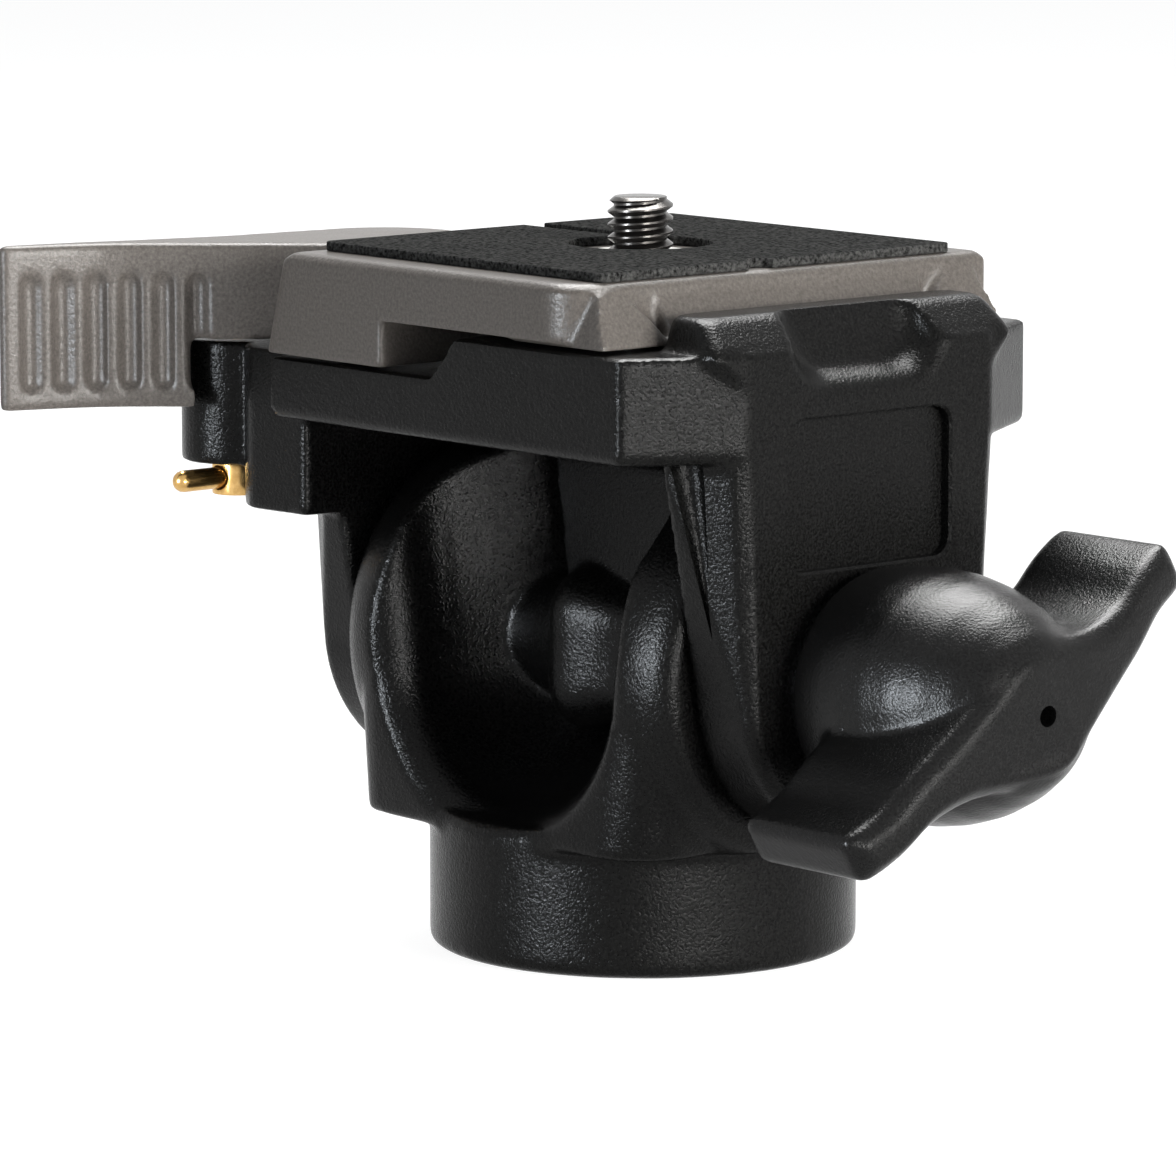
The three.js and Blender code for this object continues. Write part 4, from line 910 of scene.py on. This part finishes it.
screw = {
    "radius": 3.175, "depth": 0.62, "pitch": 1.27, "low": 66.6, "top": 72.7, "chamfer": 0.6,
    "ridge": (0.46, 0.43, 0.07), "buried": 0.4, "stepsPerTurn": 48,  # ridge: half widths over the pitch
    "skin": 0.02, "lead": (0.1, 0.4, 0.2), "tip": (0.06, 0.1),
    "head": (7, 61.9, 63.9), "headEdge": 0.25, "lug": (2.6, 58.8), "lugEdge": 0.3, "edgeSteps": 3,
    "eye": (0.87, 60.35), "eyeReach": 5, "eyeSides": 24, "joint": 0.5,
}


def addThread(root, crest):
    s, pitch = screw, screw["pitch"]
    buried, foot, top = s["ridge"]
    half = [(root - s["buried"], buried), (root, foot), (crest, top)]
    profile = [(r, -share) for r, share in half] + list(reversed(half))
    pickNothing()
    bpy.ops.mesh.primitive_circle_add(vertices=len(profile), radius=1, fill_type="NOTHING")
    ridge = keepNew("thread")
    moveCorners(ridge, [v.co.copy() for v in ridge.data.vertices],
                [Vector((r, 0, s["low"] - pitch + share * pitch)) for r, share in profile])
    pickNothing()
    threadTurns = int((s["top"] - s["low"]) / pitch) + 2
    useModifier(ridge, "SCREW", angle=2 * pi, screw_offset=pitch, iterations=threadTurns,
                steps=s["stepsPerTurn"], render_steps=s["stepsPerTurn"], use_merge_vertices=False)
    startEditing(ridge, "EDGE")
    bpy.ops.mesh.select_mode(type="VERT")
    bpy.ops.mesh.select_non_manifold()
    bpy.ops.mesh.fill_holes(sides=8)
    bpy.ops.mesh.select_all(action="SELECT")
    bpy.ops.mesh.normals_make_consistent(inside=False)
    pickNothing()
    core = addRod("core", root + s["skin"], s["low"] - 2 * pitch, s["top"] + 2 * pitch, sides=fewSides)
    combine(ridge, "UNION", core)
    cut, outside = s["chamfer"], crest + s["skin"]
    leadIn, leadLow, leadHigh = s["lead"]
    tipDrop, tipIn = s["tip"]
    return combine(ridge, "INTERSECT", addTurned("envelope", [
        (root - leadIn, s["low"] - leadLow), (outside, s["low"] + leadHigh), (outside, s["top"] - cut),
        (crest - cut, s["top"] - tipDrop), (crest - cut - tipIn, s["top"])]))


def makeCameraScrew():
    s = screw
    root, crest = s["radius"] - s["depth"], s["radius"]
    ridge = addThread(root, crest)
    headRadius, headLow, headTop = s["head"]
    whole = addRod("screwHead", headRadius, headLow, headTop, sides=manySides)
    roundEdges(whole, lambda a, b: abs(a.z - b.z) < near, s["headEdge"], s["edgeSteps"])
    shank = addRod("shank", root, headTop - s["joint"], s["low"] + s["lead"][2], sides=fewSides)
    lugRadius, lugLow = s["lug"]
    lug = addRod("lug", lugRadius, lugLow, headLow + s["joint"], sides=fewSides)
    roundEdges(lug, lambda a, b: max(a.z, b.z) < lugLow + near, s["lugEdge"], s["edgeSteps"])
    eyeRadius, eyeZ = s["eye"]
    reach = s["eyeReach"]
    combine(lug, "DIFFERENCE", addRod("eye", eyeRadius, -reach, reach, "Y", (0, eyeZ), s["eyeSides"]))
    combine(whole, "UNION", lug, shank, ridge)
    whole.name = "cameraScrew"
    pickPiece(whole)
    bpy.ops.transform.translate(value=(*screwPlace, 0))
    bpy.ops.object.transform_apply(location=True)
    finishPiece(whole, "camera_screw", finishes["darkSteel"], ["camera_screw"])


makeCameraScrew()


# Lever.

lever = {
    "root": (-33, -5.5), "rootRadius": 9.4, "rootDraft": 2.5,
    "low": 57.3, "top": 66.9, "gripLow": 50.6, "span": 17, "reach": 35.6, "clearRadius": 19.2,
    "outer": ((0.2, 0.02), (0.547, 0.04), (0.606, 0.332), (0.759, 0.607), (0.853, 0.737), (0.976, 0.975),
              (0.945, 1)),  # shares of the span and of the reach
    "inner": ((0.885, 0.995), (0.676, 0.737), (0.294, 0.52), (0, 0.361), (-0.255, 0.235)),
    "innerParts": 4, "gripOuter": 2, "gripInner": 13,  # the grip's first outer and last inner point
    "grooves": 6, "grooveStart": 2.7, "groovePitch": 3.3, "grooveRadius": 1.05, "grooveLow": 52.4,
    "grooveHigh": 63.9, "grooveEdge": 0.8, "grooveSteps": 4, "grooveSides": 32,
    "holeTop": 64.4, "edge": 0.6, "voxel": 0.34, "softening": 14,
}


def leverPoint(share):
    return (lever["root"][0] - lever["span"] * share[0], lever["root"][1] - lever["reach"] * share[1])


def placeOn(path, distance):
    # The point at that distance along a path.
    for start, end in zip(path, path[1:]):
        if distance < (end - start).length:
            break
        distance -= (end - start).length
    return start + (end - start).normalized() * distance


def makeLever():
    s = lever
    radius = s["rootRadius"]
    root = addTurned("lockLever", [
        (radius - s["rootDraft"], s["low"]), (radius, s["top"] - s["edge"]),
        (radius - s["edge"], s["top"])], at=s["root"], sides=manySides)
    outer = [leverPoint(share) for share in s["outer"]]
    inner = [leverPoint(share) for share in smoothLine(s["inner"], s["innerParts"])]
    neck = addOutline("neck", outer + inner, s["low"], s["top"])
    grip = addOutline("grip", outer[s["gripOuter"]:] + inner[:s["gripInner"]], s["gripLow"], s["top"])
    path = [Vector(point) for point in inner]
    for number in range(s["grooves"]):
        place = placeOn(path, s["grooveStart"] + number * s["groovePitch"])
        for body in (neck, grip):
            groove = addRod("groove", s["grooveRadius"], s["grooveLow"], s["grooveHigh"], at=place,
                            sides=s["grooveSides"])
            roundEdges(groove, lambda a, b: abs(a.z - b.z) < near, s["grooveEdge"], s["grooveSteps"])
            combine(body, "DIFFERENCE", groove)
    combine(grip, "DIFFERENCE", addRod("clear", s["clearRadius"], s["gripLow"] - overlap, s["low"],
                                       at=leverPivot, sides=mostSides))
    whole = gather("lockLever", root, neck, grip)
    melt(whole, s["voxel"], s["softening"])
    combine(whole, "DIFFERENCE",
            addRod("pivotHole", pivotBore, s["low"] - overlap, s["holeTop"], at=leverPivot,
                   sides=fewSides))
    # The lever gets the grey coat painted lighter, which is painted light.
    finishPiece(whole, "lever", finishes["leverLitCoat"], ["lock_lever"])


makeLever()


# Knob.

knob = {
    "back": 33.2, "face": 55.8, "hubRadius": 11.4,
    "hub": ((0.96, 0), (1, 0.03), (1.035, 0.17), (1.053, 0.3), (1.045, 0.43), (1, 0.56), (0.92, 0.69),
            (0.79, 0.82), (0.65, 0.92), (0.56, 0.96)),  # shares of the radius and of the length
    "turn": 30, "reach": 23.6, "half": 2.45, "edge": 1.25,
    "backTip": 36.9, "frontTip": 52.6, "backCentre": 39, "sweep": 1.4,
    "wing": ((1, 0.55), (0.975, 1), (0.81, 1.02), (0.63, 0.71), (0.425, 1.02), (0.18, 2.12), (0, 2.73),
             (-0.18, 2.3), (-0.425, 1.8), (-0.63, 1.45), (-0.81, 1.02), (-0.975, 1),
             (-1, 0.55)),  # shares of the reach and of the half width
    "wingParts": 3, "pinhole": (1, 3), "pinholeSides": 32, "nut": (5.4, 7.8), "nutSides": 6,
    "boreEnd": 49, "voxel": 0.32, "softening": 16,
}


def wingRing(xAt, shrink):
    s = knob
    side = [(p * (s["reach"] - shrink), q * s["half"] - (shrink if q > 0 else -shrink))
            for p, q in smoothLine(s["wing"], s["wingParts"])]
    outline = side + [(-p, -q) for p, q in side]
    angle = radians(s["turn"])
    return [(xAt(abs(p) / s["reach"]), p * cos(angle) - q * sin(angle),
             tiltHeight + p * sin(angle) + q * cos(angle)) for p, q in outline]


def makeKnob():
    s = knob
    length = s["face"] - s["back"]
    hub = addTurned("hub", [(r * s["hubRadius"], s["back"] + share * length) for r, share in s["hub"]],
                    "X", tiltAxis, manySides)

    def back(share):
        return mix(s["backCentre"], s["backTip"], share)

    def front(share):
        return mix(s["face"], s["frontTip"], share ** s["sweep"])

    wings = addLoft("wings", [
        wingRing(back, s["edge"]), wingRing(lambda share: back(share) + s["edge"], 0),
        wingRing(lambda share: front(share) - s["edge"], 0), wingRing(front, s["edge"])])
    whole = gather("wingedKnob", hub, wings)
    melt(whole, s["voxel"], s["softening"])
    pinhole, deep = s["pinhole"]
    nut, nutDepth = s["nut"]
    start = s["back"] - overlap
    combine(whole, "DIFFERENCE",
            addRod("bore", boltBore, start, s["boreEnd"], "X", tiltAxis, fewSides),
            addRod("nutPocket", nut, start, s["back"] + nutDepth, "X", tiltAxis, s["nutSides"]),
            addRod("pinhole", pinhole, s["face"] - deep, s["face"] + overlap, "X", tiltAxis,
                   s["pinholeSides"]))
    finishPiece(whole, "knob", finishes["knobPlastic"], ["knob"])


makeKnob()


# Hardware: each node, its finish and how far its edges are broken.

hardware = {
    "monopod_bush": ("brightSteel", 0.2), "friction_washer_right": ("paleNylon", 0.08),
    "friction_washer_left": ("paleNylon", 0.08), "screw_retainer": ("paleNylon", 0.08),
    "lever_pivot_screw": ("darkSteel", 0.2), "lever_pivot_washer": ("brightSteel", 0.08),
    "clamp_bolt": ("darkSteel", 0.25), "bolt_washer": ("brightSteel", 0.1),
    "thrust_washer": ("brightSteel", 0.08), "safety_plunger": ("turnedBrass", 0.12),
    "safety_arm": ("turnedBrass", 0.3), "knob_nut": ("brightSteel", 0.15),
    "screw_ring": ("brightSteel", 0), "lever_spring": ("brightSteel", 0),
}
hardwareAngle = 50  # edges flatter than this are shaded smooth
slots = {entry["node"]: entry["material_slot"] for entry in frame["record"]["subparts"]}


def addHardware():
    bodies = frame["record"]["behaviour"]["bodies"]
    for node, (finish, edge) in hardware.items():
        body = next(name for name, nodes in bodies.items() if node in nodes)
        words = node.split("_")
        name = words[0] + "".join(word.title() for word in words[1:]) + "Fine"
        piece = fineCopy(name, node, edge)
        finishPiece(piece, body, finishes[finish], [node], hardwareAngle)


addHardware()


def addSafetySpring():
    # The coil stands in the head, with a mesh of its own.
    coil = fineCopy("safetySpringCoil", "safety_spring", 0)
    finishPiece(coil, "head", finishes["brightSteel"], ["safety_spring"], hardwareAngle)
    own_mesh(coil)


addSafetySpring()

# The hidden CAD nodes get the finish of their slot as well.
nodeFinishes = {
    "bright_steel": "brightSteel", "dark_steel": "darkSteel", "brass": "turnedBrass",
    "black_paint": "blackCoat", "grey_paint": "greyCoat", "rubber": "padRubber",
    "nylon": "paleNylon", "moulded_plastic": "knobPlastic",
}
for node, piece in frame["nodes"].items():
    piece.data.materials.clear()
    piece.data.materials.append(finishes[nodeFinishes[slots[node]]])
print("all pieces made")
